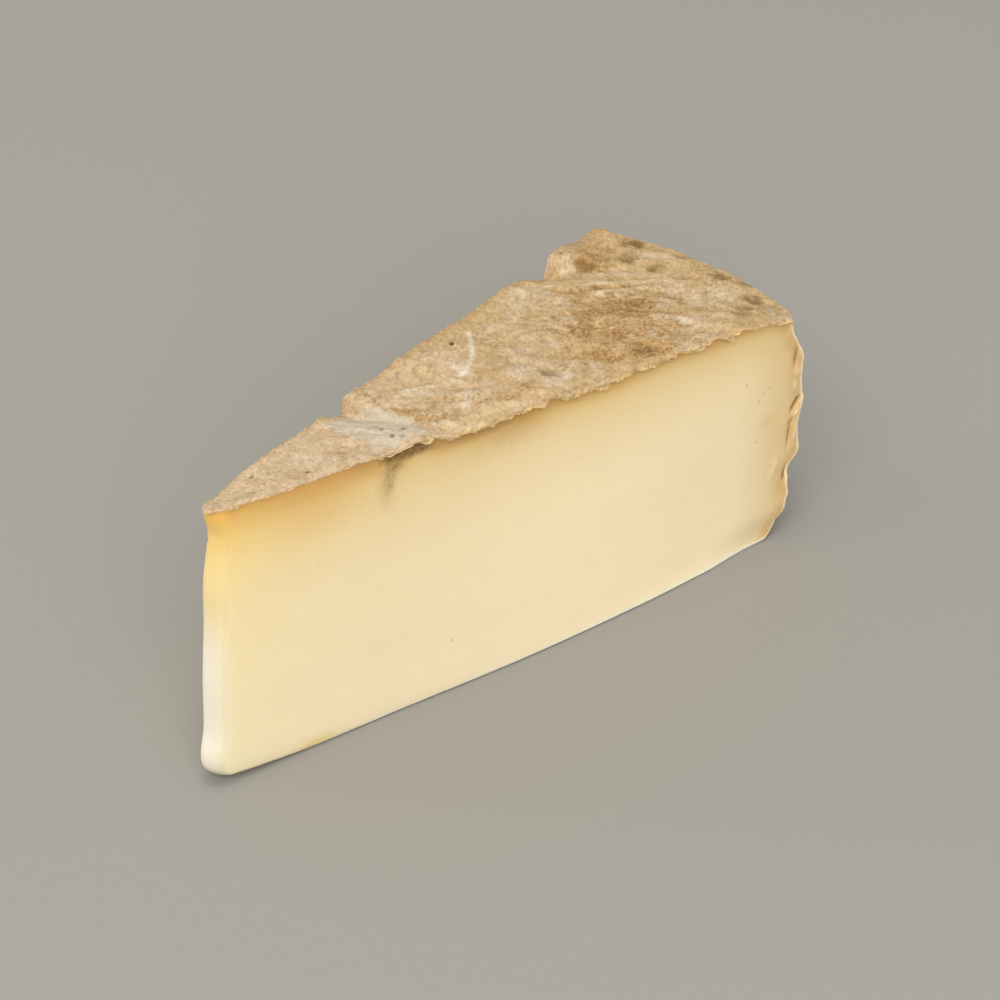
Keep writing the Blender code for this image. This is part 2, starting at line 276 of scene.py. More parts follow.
# Groove, fold and broad swells of the rind. The groove deepens by the share across, the corner rises
# beyond the fold, and the fold starts at a place along and across.
rindForm = {
    "grooveAt": 65.6, "grooveSlant": -0.20, "grooveDepthRear": 4.8, "grooveDepthFront": 0.8,
    "grooveDeepens": (-0.35, 1.0), "grooveRunIn": 6.5, "grooveWall": 1.7,
    "foldStart": (163.2, 30.0), "foldTurn": math.radians(-48.0), "foldDepth": 5.4, "foldLength": 12.0,
    "foldRunIn": 8.0, "foldWall": 2.4, "foldClimb": 1.5,
    "cornerRise": 0.8, "cornerRiseAt": (8.0, 26.0),
    # place along, side (-1 front, 1 rear), reach along, reach across, height
    "swells": (
        (100, 1, 36, 1.1, 1.2), (82, -1, 24, 1.0, 1.4), (122, 1, 14, 0.8, -0.8), (46, 1, 9, 0.8, -1.2),
        (82.5, 1, 7, 0.6, -1.1), (10, -1, 16, 1.2, 1.0), (6, 1, 12, 1.2, -2.4), (182.5, 1, 6, 0.5, -1.8),
        (192, -0.25, 7, 0.28, 1.6), (192, -0.75, 5, 0.14, -1.2), (181, -1, 12, 0.6, 1.8),
        (42, -1, 17, 0.9, 1.5), (64, -1, 5.5, 0.7, 2.2), (105, -1, 13.5, 0.9, 1.7),
        (148.5, -1, 23, 0.9, 3.5), (170, -1, 7, 0.4, 1.3), (182, -1, 8, 0.3, 0.8),
    ),
}

# The torn edge of the rind that stands proud of the cuts. A pair is where a change starts and ends.
rindEdge = {
    "thin": 0.9, "thick": 2.1, "thickens": (46.0, 70.0), "thins": (118.0, 166.0), "thinsBy": 0.45,
    "least": 0.4, "calms": (185.0, 192.0), "ledge": 0.12,
    "reach": 0.95, "reachThin": 0.45, "reachAtTip": 1.5, "reachSettles": (0.0, 7.0),
    "crownRound": 0.6, "crownShare": 0.35, "ends": (188.0, 194.0), "endsBy": 0.8,
    # length along, length down, height and seed of each layer of raggedness
    "ragged": ((4.2, 1.0, 0.16, 41), (1.7, 1.0, 0.17, 42), (0.75, 1.0, 0.26, 43)), "raggedThin": 0.5,
    # length along, turns down its height, height and seed of each layer in how far it stands out
    "uneven": ((2.3, 1.7, 0.28, 45), (0.9, 2.9, 0.22, 46)),
    # hanging flaps and gaps on the front cut: place along, half width, drop, extra reach
    "flaps": (
        (48.0, 0.7, 0.9, 0.3), (45.0, 2.0, -0.4, 0.0), (58.0, 5.0, -0.4, 0.0), (65.0, 1.8, -1.7, -0.3),
        (68.4, 1.0, 0.4, 0.2), (71.6, 1.8, -1.0, 0.0), (75.6, 0.5, 0.6, 0.3), (82.0, 2.4, 0.5, 0.0),
        (93.5, 1.5, -0.5, 0.0), (96.4, 0.9, 0.9, 0.2), (101.2, 1.8, -2.0, -0.3), (105.4, 1.8, 0.8, 0.2),
        (111.6, 2.6, -1.2, 0.0), (117.4, 1.5, 1.0, 0.3), (121.8, 2.4, -0.9, 0.0),
        (127.6, 1.4, -1.2, -0.2), (131.0, 1.1, 0.8, 0.6), (135.6, 1.6, -0.5, 0.0), (140.0, 0.6, 0.8, 0.8),
        (143.4, 1.4, -1.1, 0.0), (150.4, 2.0, 0.4, 0.2), (154.8, 2.0, -1.4, -0.3), (159.4, 0.9, 3.6, 0.5),
        (165.0, 3.0, -0.5, -0.3), (180.0, 1.2, 0.3, 0.0),
    ),
    "flapShare": 0.42, "flapWidth": 1.1,
    # places where the edge curls up on the front cut: place along, half width, height
    "rises": (
        (65.0, 2.0, 1.6), (72.0, 2.4, 0.8), (101.0, 1.7, 1.8), (112.2, 2.2, 0.9), (121.0, 2.0, 0.5),
        (127.8, 1.2, 1.0), (143.4, 1.5, 0.9), (155.0, 2.0, 2.0), (165.0, 3.5, 0.9), (182.0, 4.5, 1.0),
    ),
    "riseShare": 0.35, "riseReach": 2.4,
}

# How finely the block is divided; bands are (from, to, step) in millimetres
divisions = {
    "along": ((0, 6, 0.40), (6, 56, 0.70), (56, 72, 0.50), (72, 150, 0.64), (150, 186, 0.58),
              (186, 196.4, 0.48)),
    "across": 84,
    "crowding": 0.22,
    "up": ((0, 3, 0.5), (3, 9, 1.0), (9, 24, 1.7), (24, 62, 1.25), (62, 66, 1.5), (66, 76, 1.1),
           (76, 82.6, 0.7), (82.6, 83.6, 0.5)),
    "edge": (1.0, 0.88, 0.70, 0.52, 0.36, 0.22, 0.10, 0.0),     # from the torn edge up to the top
    "underCells": 6,                            # columns of the block in one cell of the underside
    "sharpFrom": math.radians(45.0),            # an edge that turns by more is drawn sharp
}


def smoothStep(low, high, value):
    # 0 below low, 1 above high, an even curve between
    share = np.clip((value - low) / (high - low), 0.0, 1.0)
    return share * share * (3.0 - 2.0 * share)


def fade(low, high, value):
    # 1 below low, 0 above high, an even curve between
    return 1.0 - smoothStep(low, high, value)


def upTo(least, low, high, value):
    # least below low, rising to 1 above high
    return least + (1 - least) * smoothStep(low, high, value)


def hill(value, centre, reach):
    # A rounded hill of height 1 at its centre
    return np.exp(-((value - centre) / reach) ** 2)


def edgeRound(distance, radius):
    # How far a rounded edge has drawn in at a distance from its flat: radius less the circle's height
    inside = np.clip(radius - distance, 0.0, radius)
    return radius - np.sqrt(radius ** 2 - inside ** 2)


def unevenness(first, second, seed, size=97):
    # Random heights at whole numbers, joined by eased curves: smooth hills and hollows, -1 to 1
    table = np.random.default_rng(seed).uniform(-1.0, 1.0, (size, size))
    left, low = np.floor(first).astype(int), np.floor(second).astype(int)
    across, up = first - left, second - low
    across, up = across ** 3 * (10 - 15 * across + 6 * across ** 2), up ** 3 * (10 - 15 * up + 6 * up ** 2)
    right, high = (left + 1) % size, (low + 1) % size
    left, low = left % size, low % size
    lower = table[left, low] * (1 - across) + table[right, low] * across
    upper = table[left, high] * (1 - across) + table[right, high] * across
    return lower * (1 - up) + upper * up


def layered(first, second, layers):
    # Sum of layers of unevenness: each has its length one way and the other, its height and its seed
    total = np.zeros_like(first)
    for firstLength, secondLength, height, seed in layers:
        total += height * unevenness(first / firstLength, second / secondLength, seed)
    return total


noseSweep = math.pi / 2 - wedge["halfAngle"]
apexBehindTip = wedge["noseRadius"] / math.sin(wedge["halfAngle"]) - wedge["noseRadius"]
noseArc = wedge["noseRadius"] * noseSweep


def cutWidth(along):
    # Half the width between the two flat cuts
    return math.tan(wedge["halfAngle"]) * (along + apexBehindTip)


def inFrame(points):
    # From millimetres at the tip's foot to metres in the model's own frame
    low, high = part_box("cheese_wedge")
    end, middle = low.x + wedge["boxEnd"] * millimetre, (low.y + high.y) / 2 + wedge["aside"] * millimetre
    return np.asarray(points, float) * millimetre + np.array([end, middle, 0.0])


def nosePlan(across):
    # The tip from above: an arc that meets both cuts
    sweep = across * noseSweep
    return wedge["noseRadius"] * (1 - np.cos(sweep)), wedge["noseRadius"] * np.sin(sweep)


def sidePlan(across):
    # The wheel's side from above: a shallow arc whose corners are worn by a high power of across
    reach = cutWidth(wedge["length"])
    corner = wedge["length"] - reach ** 2 / (2 * wedge["wheelRadius"]) - wedge["cornerWear"]
    along = wedge["length"] - (across * reach) ** 2 / (2 * wedge["wheelRadius"])
    return along - wedge["cornerWear"] * np.abs(across) ** 10, across * cutWidth(corner)


def shoulderAndFoot(height, across):
    # Set-back of the side's worn shoulder, by the square of the height, and of its rounded foot;
    # both grow towards the corners
    above = np.clip(height - wedge["widestHeight"], 0, None) / (wedge["sideHeight"] - wedge["widestHeight"])
    wear = np.where(across < 0, wedge["frontWearTop"], wedge["rearWearTop"])
    foot = wedge["sideFootRadius"] + (wedge["cornerFootRadius"] - wedge["sideFootRadius"]) * across ** 4
    return (wedge["shoulderSetBack"] + wear * across ** 6) * above ** 2, edgeRound(height, foot)


def evenSetBack(height, across):
    # Set-back of the wheel's side without its ledges and dents: shoulder, slope below and foot
    shoulder, foot = shoulderAndFoot(height, across)
    below = np.clip(1.0 - height / (wedge["ledges"][0][0] * wedge["evenSlopeFrom"]), 0, None)
    return shoulder + sum(depth for ledgeHeight, depth in wedge["ledges"]) * below ** 2 + foot


def sideSetBack(height, across):
    # How far the wheel's side lies behind its widest point: shoulder, ledges, soft dents and foot
    setBack, foot = shoulderAndFoot(height, across)
    for ledgeHeight, depth in wedge["ledges"]:
        wander = ledgeHeight + wedge["ledgeWander"] * np.sin(wedge["ledgeWaves"] * (across + 1.0))
        setBack = setBack + depth * fade(wander - wedge["ledgeSlope"], wander, height)
    rows = np.sin(height / wedge["dentRow"] + wedge["dentRowSlant"] * across)
    swells = np.sin(wedge["dentSwellSlant"] * across + height / wedge["dentSwell"])
    return setBack + wedge["dentDepth"] * rows * swells + foot


def noseSetBack(height):
    # How far the tip lies behind its upright: head and its flare, belly, toe and a rounded foot
    head = wedge["headSetBack"] * smoothStep(*wedge["headLeans"], height)
    head = head - wedge["headFlare"] * smoothStep(*wedge["headFlares"], height)
    belly = wedge["bellyReach"] * fade(*wedge["bellyFades"], height)
    toe = wedge["toeReach"] * hill(height, *wedge["toeUp"])
    return head - belly - toe + edgeRound(height, wedge["noseFootRadius"])


def evenTop(along):
    # Height of the rind as one straight slope from tip to side
    return wedge["tipHeight"] + (wedge["sideHeight"] - wedge["tipHeight"]) * along / wedge["length"]


def foldPlace(along, across):
    # Distance along the fold from its start at the rear cut, and distance beyond its line
    fromAlong, fromAcross = along - rindForm["foldStart"][0], across - rindForm["foldStart"][1]
    turnCos, turnSin = math.cos(rindForm["foldTurn"]), math.sin(rindForm["foldTurn"])
    return fromAlong * turnCos + fromAcross * turnSin, fromAcross * turnCos - fromAlong * turnSin


def rindTop(along, across):
    # Height of the rind: the slope from tip to side, broad swells, the groove, the fold and the shoulder
    place = np.clip(across / cutWidth(along), -1.0, 1.0)
    top = evenTop(along)
    for centre, side, reach, spread, height in rindForm["swells"]:
        top = top + height * hill(along, centre, reach) * hill(place, side, spread)
    offset = along - (rindForm["grooveAt"] + rindForm["grooveSlant"] * across)
    reach = np.where(offset < 0, rindForm["grooveRunIn"], rindForm["grooveWall"])
    deeper = rindForm["grooveDepthRear"] - rindForm["grooveDepthFront"]
    depth = rindForm["grooveDepthFront"] + deeper * smoothStep(*rindForm["grooveDeepens"], place)
    top = top - depth * hill(offset, 0.0, reach)
    run, offset = foldPlace(along, across)
    fading = np.exp(-np.clip(run, 0, None) / rindForm["foldLength"])
    reach = np.where(offset < 0, rindForm["foldRunIn"], rindForm["foldWall"])
    beyond = smoothStep(0.0, rindForm["foldWall"] * rindForm["foldClimb"], offset)
    rise = rindForm["cornerRise"] * beyond * hill(offset, *rindForm["cornerRiseAt"])
    top = top + fading * (rise - rindForm["foldDepth"] * hill(offset, 0.0, reach))
    nearSide = along + across ** 2 / (2 * wedge["wheelRadius"])
    shoulder = smoothStep(wedge["length"] - wedge["shoulderRun"], wedge["length"], nearSide)
    return top - wedge["shoulderDrop"] * shoulder


# Fine relief of the rind. The grain runs aslant over the wedge, the way the cloth lay on the wheel.
rindGrain = {
    "turn": math.radians(-48.6),
    # length along the grain, width across it, height, seed
    "waves": ((17.0, 7.5, 0.40, 11), (7.5, 4.0, 0.38, 12), (3.2, 2.6, 0.27, 13), (1.6, 1.7, 0.13, 14)),
    "bend": 1.8, "bendLength": 9.0, "bendSeeds": (51, 52),      # how far the grain wanders
    "calmAtTip": 0.6, "calmEnds": (20.0, 60.0),
    "hollowDepth": 1.7,
    # the rim: from which share of the way out it counts, how calm its relief is in front and behind,
    # and the size both ways, height and seed of its lumps
    "rimFrom": 0.93, "calmFront": 0.7, "calmRear": 0.4,
    "crumbs": ((2.3, 2.3, 0.26, 15), (1.15, 1.15, 0.24, 16)),
}

# Marks on the rind: place along and across, half length along the grain, half width across it,
# in hollows and holes the depth, and last how strong the mark's colour is
rindHollows = (
    (167.4, 23.6, 3.8, 1.4, 0.45, 0.7), (179.6, 18.2, 3.0, 2.8, 0.5, 0.75),
    (187.3, 23.9, 3.2, 3.0, 0.6, 0.95), (179.6, 10.0, 2.8, 2.1, 0.45, 0.8),
    (180.1, -0.1, 3.4, 1.3, 0.35, 0.5), (187.0, -7.0, 3.0, 3.0, 0.55, 0.85),
    (185.2, -21.6, 3.4, 3.0, 0.5, 0.8), (177.9, -24.1, 4.0, 2.6, 0.4, 0.5),
    (169.3, -5.6, 3.4, 2.6, 0.3, 0.4), (177.4, -11.8, 2.6, 2.6, 0.3, 0.4),
    (111.8, -12.4, 3.0, 3.0, 0.4, 0.7), (158.4, 11.4, 2.2, 1.4, 0.3, 0.6),
    (165.4, 6.2, 2.4, 1.1, 0.3, 0.65), (137.5, -22.8, 3.4, 3.0, 0.5, 0.4),
    (158.0, -2.2, 2.6, 2.4, 0.4, 0.45), (191.0, 8.0, 3.0, 2.0, 0.4, 0.6),
    (190.0, -14.5, 3.0, 2.0, 0.4, 0.6), (172.5, -26.3, 3.0, 2.0, 0.3, 0.4),
)
# Holes: dark specks, whose darkness is partly painted shade inside the holes
rindHoles = (
    (58.4, -2.8, 0.6, 1.0, 0.4, 0.85), (61.9, -7.3, 0.65, 1.2, 0.6, 1.0), (57.2, 1.2, 1.0, 0.7, 0.2, 0.6),
    (56.7, -8.2, 0.7, 1.1, 0.3, 0.65), (59.6, 0.4, 0.4, 0.7, 0.2, 0.5), (58.2, -10.4, 0.6, 0.8, 0.2, 0.4),
    (19.2, 3.7, 0.6, 1.0, 0.3, 0.7), (29.8, -5.0, 0.8, 0.8, 0.3, 0.7),
    (104.0, 15.4, 0.65, 1.05, 0.6, 1.0),
)
brownPatches = (
    (147.0, -5.0, 18.0, 20.0, 0.55), (141.4, -24.0, 5.0, 4.0, 0.6), (135.6, -3.8, 4.8, 6.0, 0.9),
    (157.2, -2.4, 5.0, 4.6, 0.85), (136.6, -22.4, 5.4, 5.4, 0.75), (127.5, -16.6, 6.5, 4.5, 0.65),
    (141.5, -11.0, 6.0, 6.0, 0.7), (158.7, -12.0, 5.5, 4.5, 0.5), (167.5, 25.0, 7.0, 7.0, 0.65),
    (178.0, 28.0, 7.0, 3.0, 0.4), (68.8, -1.4, 7.5, 3.0, 0.5), (66.5, 10.0, 3.4, 3.0, 0.4),
    (72.0, -8.4, 6.0, 3.0, 0.5), (128.6, 2.6, 5.0, 4.2, 0.5), (92.2, -14.6, 3.4, 1.8, 0.4),
    (100.3, -14.0, 2.6, 1.5, 0.45), (85.0, -8.0, 10.0, 3.0, 0.3), (112.0, 6.0, 8.0, 3.0, 0.25),
    (150.0, -28.0, 8.0, 3.0, 0.4), (180.8, -9.4, 5.0, 4.0, 0.25),
)
palePatches = (
    (159.0, -18.6, 3.0, 2.6, 0.9), (34.0, -1.0, 6.0, 3.4, 0.5), (113.5, -16.2, 5.0, 2.0, 0.7),
    (136.4, 14.6, 3.0, 1.0, 0.7), (144.6, 11.2, 4.0, 1.0, 0.7), (142.8, 22.8, 5.0, 3.2, 0.6),
    (186.1, 13.1, 8.0, 2.8, 0.5), (107.4, -19.0, 3.6, 1.6, 0.5), (172.0, 11.0, 9.0, 1.5, 0.4),
    (66.9, 11.1, 3.0, 3.0, 0.25), (134.5, 18.5, 6.0, 4.0, 0.4), (79.0, 3.6, 7.0, 2.0, 0.6),
    (95.2, 3.4, 2.6, 1.8, 0.9), (180.5, -15.0, 7.0, 5.0, 0.4),
)
# Where a mark's depth and colour stand in its row, how far out it is full and gone, and its ragged rim
markForm = {
    "depth": 4, "colour": -1, "full": 0.35, "gone": 1.35,
    "raggedLength": 1.6, "ragged": 0.35, "seed": 21, "holeRagged": 0.1,
}

# Thin pale lines in the rind: points (along, across), half width, height, strength
paleLines = (
    (((112.4, 17.0), (107.1, 11.1), (101.8, 5.8), (97.0, 3.2), (93.2, 2.2)), 0.7, 0.15, 0.95),
    (((110.9, 12.6), (119.0, 15.0), (121.5, 14.1), (125.0, 11.3)), 0.6, 0.1, 0.35),
    (((88.3, -4.7), (84.5, -7.6), (81.3, -10.4)), 1.1, 0.1, 0.4),
    (((50.9, 9.3), (54.5, 2.3), (55.5, -3.0), (57.0, -6.0)), 0.6, 0.35, 1.0),
    (((149.0, 22.4), (153.6, 18.6), (158.6, 14.6), (163.2, 11.2), (170.0, 6.2), (177.0, 1.6)), 0.8, 0.3, 0.3),
    (((156.6, 9.0), (161.4, 6.2), (168.0, 3.0)), 0.8, 0.3, 0.2),
    (((76.6, 7.6), (83.0, 4.4), (90.4, 1.6)), 0.8, 0.3, 0.45),
    (((112.4, -17.6), (117.0, -14.4), (121.0, -12.4)), 0.8, 0.3, 0.25),
)
# Sharp creases: points (along, across), half width, depth
creaseLines = (
    (((150.3, 23.6), (155.7, 19.3), (160.1, 15.9), (164.6, 12.5), (171.5, 7.6), (177.2, 3.5), (182.8, -4.4)),
     0.7, 0.8),
    (((154.7, 13.0), (160.7, 9.2), (168.4, 5.0), (172.0, 2.6)), 0.6, 0.6),
)
# The chalky patch beside the groove: its outline and how soft and ragged its border is
chalkPatch = {
    "outline": (
        (51.0, 8.6), (57.0, 11.4), (63.6, 10.6), (66.4, 5.0), (67.0, 0.0), (66.0, -5.0), (65.0, -9.0),
        (64.4, -12.8), (57.5, -12.2), (53.0, -11.8), (49.6, -10.6), (50.6, -7.6), (50.4, -2.6), (49.8, 3.0),
    ),
    "softness": 0.9, "ragged": ((1.3, 1.3, 0.9, 31),),
}


def alongGrain(along, across):
    # Distances along and across the grain: the plan turned by the grain's angle
    turnCos, turnSin = math.cos(rindGrain["turn"]), math.sin(rindGrain["turn"])
    return along * turnCos + across * turnSin, across * turnCos - along * turnSin


def patchShare(along, across, marks, column, ragged=markForm["ragged"], seed=markForm["seed"]):
    # The strongest of some soft ellipses laid along the grain, their rims made ragged by unevenness
    total = np.zeros_like(along)
    length = markForm["raggedLength"]
    wander = ragged * unevenness(along / length, across / length, seed)
    for mark in marks:
        run, offset = alongGrain(along - mark[0], across - mark[1])
        away = np.sqrt((run / mark[2]) ** 2 + (offset / mark[3]) ** 2) + wander
        total = np.maximum(total, mark[markForm[column]] * fade(markForm["full"], markForm["gone"], away))
    return total


def lineDistance(along, across, points):
    # Distance to the nearest stretch of a line through the points
    nearest = np.full_like(along, np.inf)
    for (startAlong, startAcross), (endAlong, endAcross) in zip(points[:-1], points[1:]):
        runAlong, runAcross = endAlong - startAlong, endAcross - startAcross
        share = (along - startAlong) * runAlong + (across - startAcross) * runAcross
        share = np.clip(share / (runAlong ** 2 + runAcross ** 2), 0.0, 1.0)
        away = np.hypot(along - startAlong - share * runAlong, across - startAcross - share * runAcross)
        nearest = np.minimum(nearest, away)
    return nearest


def chalkShare(along, across):
    # 1 well inside the chalky patch and 0 well outside, with a soft, ragged border
    inside = np.zeros(along.shape, bool)
    closed = chalkPatch["outline"] + chalkPatch["outline"][:1]
    for (startAlong, startAcross), (endAlong, endAcross) in zip(closed[:-1], closed[1:]):
        crosses = (startAcross > across) != (endAcross > across)
        slant = (endAlong - startAlong) / (endAcross - startAcross + 1e-9)
        meets = startAlong + (across - startAcross) * slant
        inside ^= crosses & (along < meets)
    away = lineDistance(along, across, closed)
    signed = np.where(inside, away, -away) + layered(along, across, chalkPatch["ragged"])
    return smoothStep(-chalkPatch["softness"], chalkPatch["softness"], signed)


def grainRelief(along, across):
    # Layers of unevenness drawn out along the wandering grain, calmer at the tip; about -1 to 1 millimetre
    run, offset = alongGrain(along, across)
    length = rindGrain["bendLength"]
    bends = [rindGrain["bend"] * unevenness(run / length, offset / length, seed)
             for seed in rindGrain["bendSeeds"]]
    relief = layered(run + bends[0], offset + bends[1], rindGrain["waves"])
    return relief * upTo(rindGrain["calmAtTip"], *rindGrain["calmEnds"], along)


def edgeRises(along, across):
    # How far the torn edge curls up over the front cut: hills along the edge that fade away from it
    total = np.zeros_like(along)
    for at, halfWidth, height in rindEdge["rises"]:
        total += rindEdge["riseShare"] * height * hill(along, at, halfWidth)
    return total * np.exp(-np.clip(cutWidth(along) + across, 0, None) / rindEdge["riseReach"])


def rindRelief(along, across):
    # Grain, dark hollows and holes, creases and raised pale lines
    relief = grainRelief(along, across)
    relief -= rindGrain["hollowDepth"] * patchShare(along, across, rindHollows, "depth")
    relief -= patchShare(along, across, rindHoles, "depth", markForm["holeRagged"])
    for points, width, depth in creaseLines:
        relief -= depth * hill(lineDistance(along, across, points), 0.0, width)
    for points, width, height, strength in paleLines:
        relief += height * hill(lineDistance(along, across, points), 0.0, width)
    return relief


def evenThickness(along):
    # Depth of the rind edge without its raggedness: thin at the tip, thick beyond the groove
    thickens = smoothStep(*rindEdge["thickens"], along)
    thins = 1.0 - rindEdge["thinsBy"] * smoothStep(*rindEdge["thins"], along)
    return rindEdge["thin"] + (rindEdge["thick"] * thins - rindEdge["thin"]) * thickens


def edgeThickness(path, along):
    # Depth of the torn rind edge: the even depth made ragged, with hanging flaps, and calm at its end
    thickens = smoothStep(*rindEdge["thickens"], along)
    ragged = layered(path, np.full_like(path, 0.5), rindEdge["ragged"])
    raggedShare = rindEdge["raggedThin"] + (1 - rindEdge["raggedThin"]) * thickens
    thickness = evenThickness(along) * (1.0 + ragged * raggedShare)
    for at, halfWidth, drop, reach in rindEdge["flaps"]:
        away = (-path - noseArc - at) / (rindEdge["flapWidth"] * halfWidth)
        thickness = thickness + rindEdge["flapShare"] * drop * np.exp(-away ** 4)
    calm = smoothStep(*rindEdge["calms"], along)
    return np.maximum(thickness, rindEdge["least"]) * (1 - calm) + rindEdge["thin"] * calm


def edgeReach(path, along, share):
    # How far the torn edge stands proud of the cut: rounded at the top, full below, uneven along
    crown = 1.0 - rindEdge["crownRound"] * (1.0 - np.clip(share / rindEdge["crownShare"], 0.0, 1.0)) ** 2
    thickens = smoothStep(*rindEdge["thickens"], along)
    body = rindEdge["reachThin"] + (rindEdge["reach"] - rindEdge["reachThin"]) * thickens
    settles = smoothStep(*rindEdge["reachSettles"], along)
    reach = rindEdge["reachAtTip"] + (body - rindEdge["reachAtTip"]) * settles
    uneven = np.ones_like(path)
    for length, turns, height, seed in rindEdge["uneven"]:
        uneven = uneven + height * unevenness(path / length, share * turns, seed)
    for at, halfWidth, drop, extra in rindEdge["flaps"]:
        uneven = uneven + extra * hill(-path - noseArc, at, halfWidth)
    return reach * crown * uneven


# The side's rind in section on the cuts: a faintly wavy strip, with lumps and dents on the front cut
sideStrip = {
    # rim: width of the painted highlight along the section's outer edge
    "width": 3.4, "rise": 0.10, "waveLength": 4.2, "waveShare": 0.8, "rim": 0.9, "tan": 6.0,
    # place along and up, half length, half width, turn in degrees, height
    "marks": (
        (187.2, 60.0, 4.4, 0.7, 90, -0.65), (188.6, 54.5, 1.5, 1.0, 0, 0.35),
        (187.8, 50.4, 2.2, 1.0, 90, 0.4), (189.1, 43.8, 2.4, 0.7, 56, -1.3),
        (189.6, 41.0, 2.0, 0.7, 50, 0.4), (188.0, 38.1, 1.2, 0.45, 15, -0.8),
        (187.8, 33.6, 4.4, 0.5, 88, -0.8), (189.6, 34.4, 4.0, 0.7, 90, 0.4),
        (188.1, 28.5, 0.8, 0.7, 0, 0.4), (183.2, 24.4, 4.0, 1.1, 75, 0.35),
        (187.7, 20.8, 2.2, 0.9, 80, -0.9), (180.2, 40.8, 3.4, 1.7, 10, -0.15),
    ),
    "rearShift": 1.0, "rearTurned": 78.0,       # how the same marks lie on the rear cut, upside down
}

# Faint unevenness of the cuts: length along, length up, how far apart the patterns of the two cuts lie,
# height, seed
cutFaint = ((19.0, 13.0, 7.0, 0.05, 61), (4.7, 3.9, 9.0, 0.02, 62))

# Fine relief of the wheel's side: length around the wheel, length up, height, seed
sideGrain = {"waves": ((11.0, 7.0, 0.45, 71), (5.0, 2.8, 0.30, 72), (2.1, 1.5, 0.16, 73)), "fullAbove": 5.0}


def cutMarks(along, height):
    # Sum of the strip's turned ellipses, each a soft lump or dent
    total = np.zeros_like(along)
    for centreAlong, centreUp, halfLength, halfWidth, degrees, lift in sideStrip["marks"]:
        turn = math.radians(degrees)
        run = (along - centreAlong) * math.cos(turn) + (height - centreUp) * math.sin(turn)
        offset = (height - centreUp) * math.cos(turn) - (along - centreAlong) * math.sin(turn)
        total += lift * np.exp(-(run / halfLength) ** 2 - (offset / halfWidth) ** 2)
    return total


def cutRelief(along, height, across, toSide):
    # How far a cut stands out from its plane: broad bulge, rind's section, rounded foot, faint unevenness
    bulge = wedge["cutBulge"] * hill(along, *wedge["cutBulgeAt"])
    bulge -= wedge["cutDrawIn"] * smoothStep(*wedge["cutDrawsIn"], along)
    bulge *= fade(*wedge["bulgeFades"], height)
    tuck = smoothStep(*wedge["footTucks"], along)
    bulge -= wedge["footTuck"] * tuck * fade(0.0, wedge["footTuckHeight"], height)
    strip = sideStrip["rise"] * fade(sideStrip["width"] * 0.5, sideStrip["width"], toSide)
    strip *= 1.0 + sideStrip["waveShare"] * np.sin(height / sideStrip["waveLength"] + across)
    faint = sum(rise * unevenness(along / length, height / tall + apart * across, seed)
                for length, tall, apart, rise, seed in cutFaint)
    rearMarks = cutMarks(along - sideStrip["rearShift"], sideStrip["rearTurned"] - height)
    lumps = np.where(across < 0, cutMarks(along, height), rearMarks)
    return bulge + strip + faint + lumps - edgeRound(height, wedge["cutEdgeRadius"])


def sideRelief(across, height):
    # Fine relief of the wheel's side: layers of unevenness drawn out around the wheel, none at the foot
    relief = layered(across * cutWidth(wedge["length"]), height, sideGrain["waves"])
    return relief * smoothStep(0.0, sideGrain["fullAbove"], height)


def bandStations(bands):
    # Places from band to band, each band split into even steps close to its own
    places = [np.array([float(bands[0][0])])]
    for start, end, step in bands:
        count = max(round((end - start) / step), 1)
        places.append(start + (end - start) * np.arange(1, count + 1) / count)
    return np.concatenate(places)


def stations():
    # Shares of the way along, across (-1 to 1) and up the block. Up the wall the edge's share is -1;
    # above it the wall's share stays 1 while the edge's runs from 1 to 0.
    run = bandStations(divisions["along"]) / wedge["length"]
    even = np.linspace(-1.0, 1.0, divisions["across"] + 1)
    crowding = divisions["crowding"]
    across = (1 - crowding) * even + crowding * np.sin(even * math.pi / 2)
    wall = bandStations(divisions["up"]) / wedge["tipHeight"]
    edge = np.array(divisions["edge"])
    wallShare = np.concatenate([wall, np.ones(len(edge))])
    edgeShare = np.concatenate([np.full(len(wall), -1.0), edge])
    return run, across, wallShare, edgeShare


def blockFaces(runCount, acrossCount, levelCount):
    # Five sides of a block as quads of lattice numbers, each wound to face outwards.
    # A lattice point's number is (run * acrossCount + across) * levelCount + level.
    def number(run, across, level):
        return (run * acrossCount + across) * levelCount + level

    def sheet(first, second, corner, flip):
        a, b = np.meshgrid(first, second, indexing="ij")
        quads = np.stack([corner(a, b), corner(a + 1, b), corner(a + 1, b + 1), corner(a, b + 1)], -1)
        quads = quads.reshape(-1, 4)
        return quads[:, ::-1] if flip else quads

    runs, acrosses, levels = np.arange(runCount - 1), np.arange(acrossCount - 1), np.arange(levelCount - 1)
    top, back, side = levelCount - 1, acrossCount - 1, runCount - 1
    return {
        "top": sheet(runs, acrosses, lambda a, b: number(a, b, top), False),
        "front": sheet(runs, levels, lambda a, b: number(a, 0, b), False),
        "rear": sheet(runs, levels, lambda a, b: number(a, back, b), True),
        "nose": sheet(acrosses, levels, lambda a, b: number(0, a, b), True),
        "side": sheet(acrosses, levels, lambda a, b: number(side, a, b), False),
    }


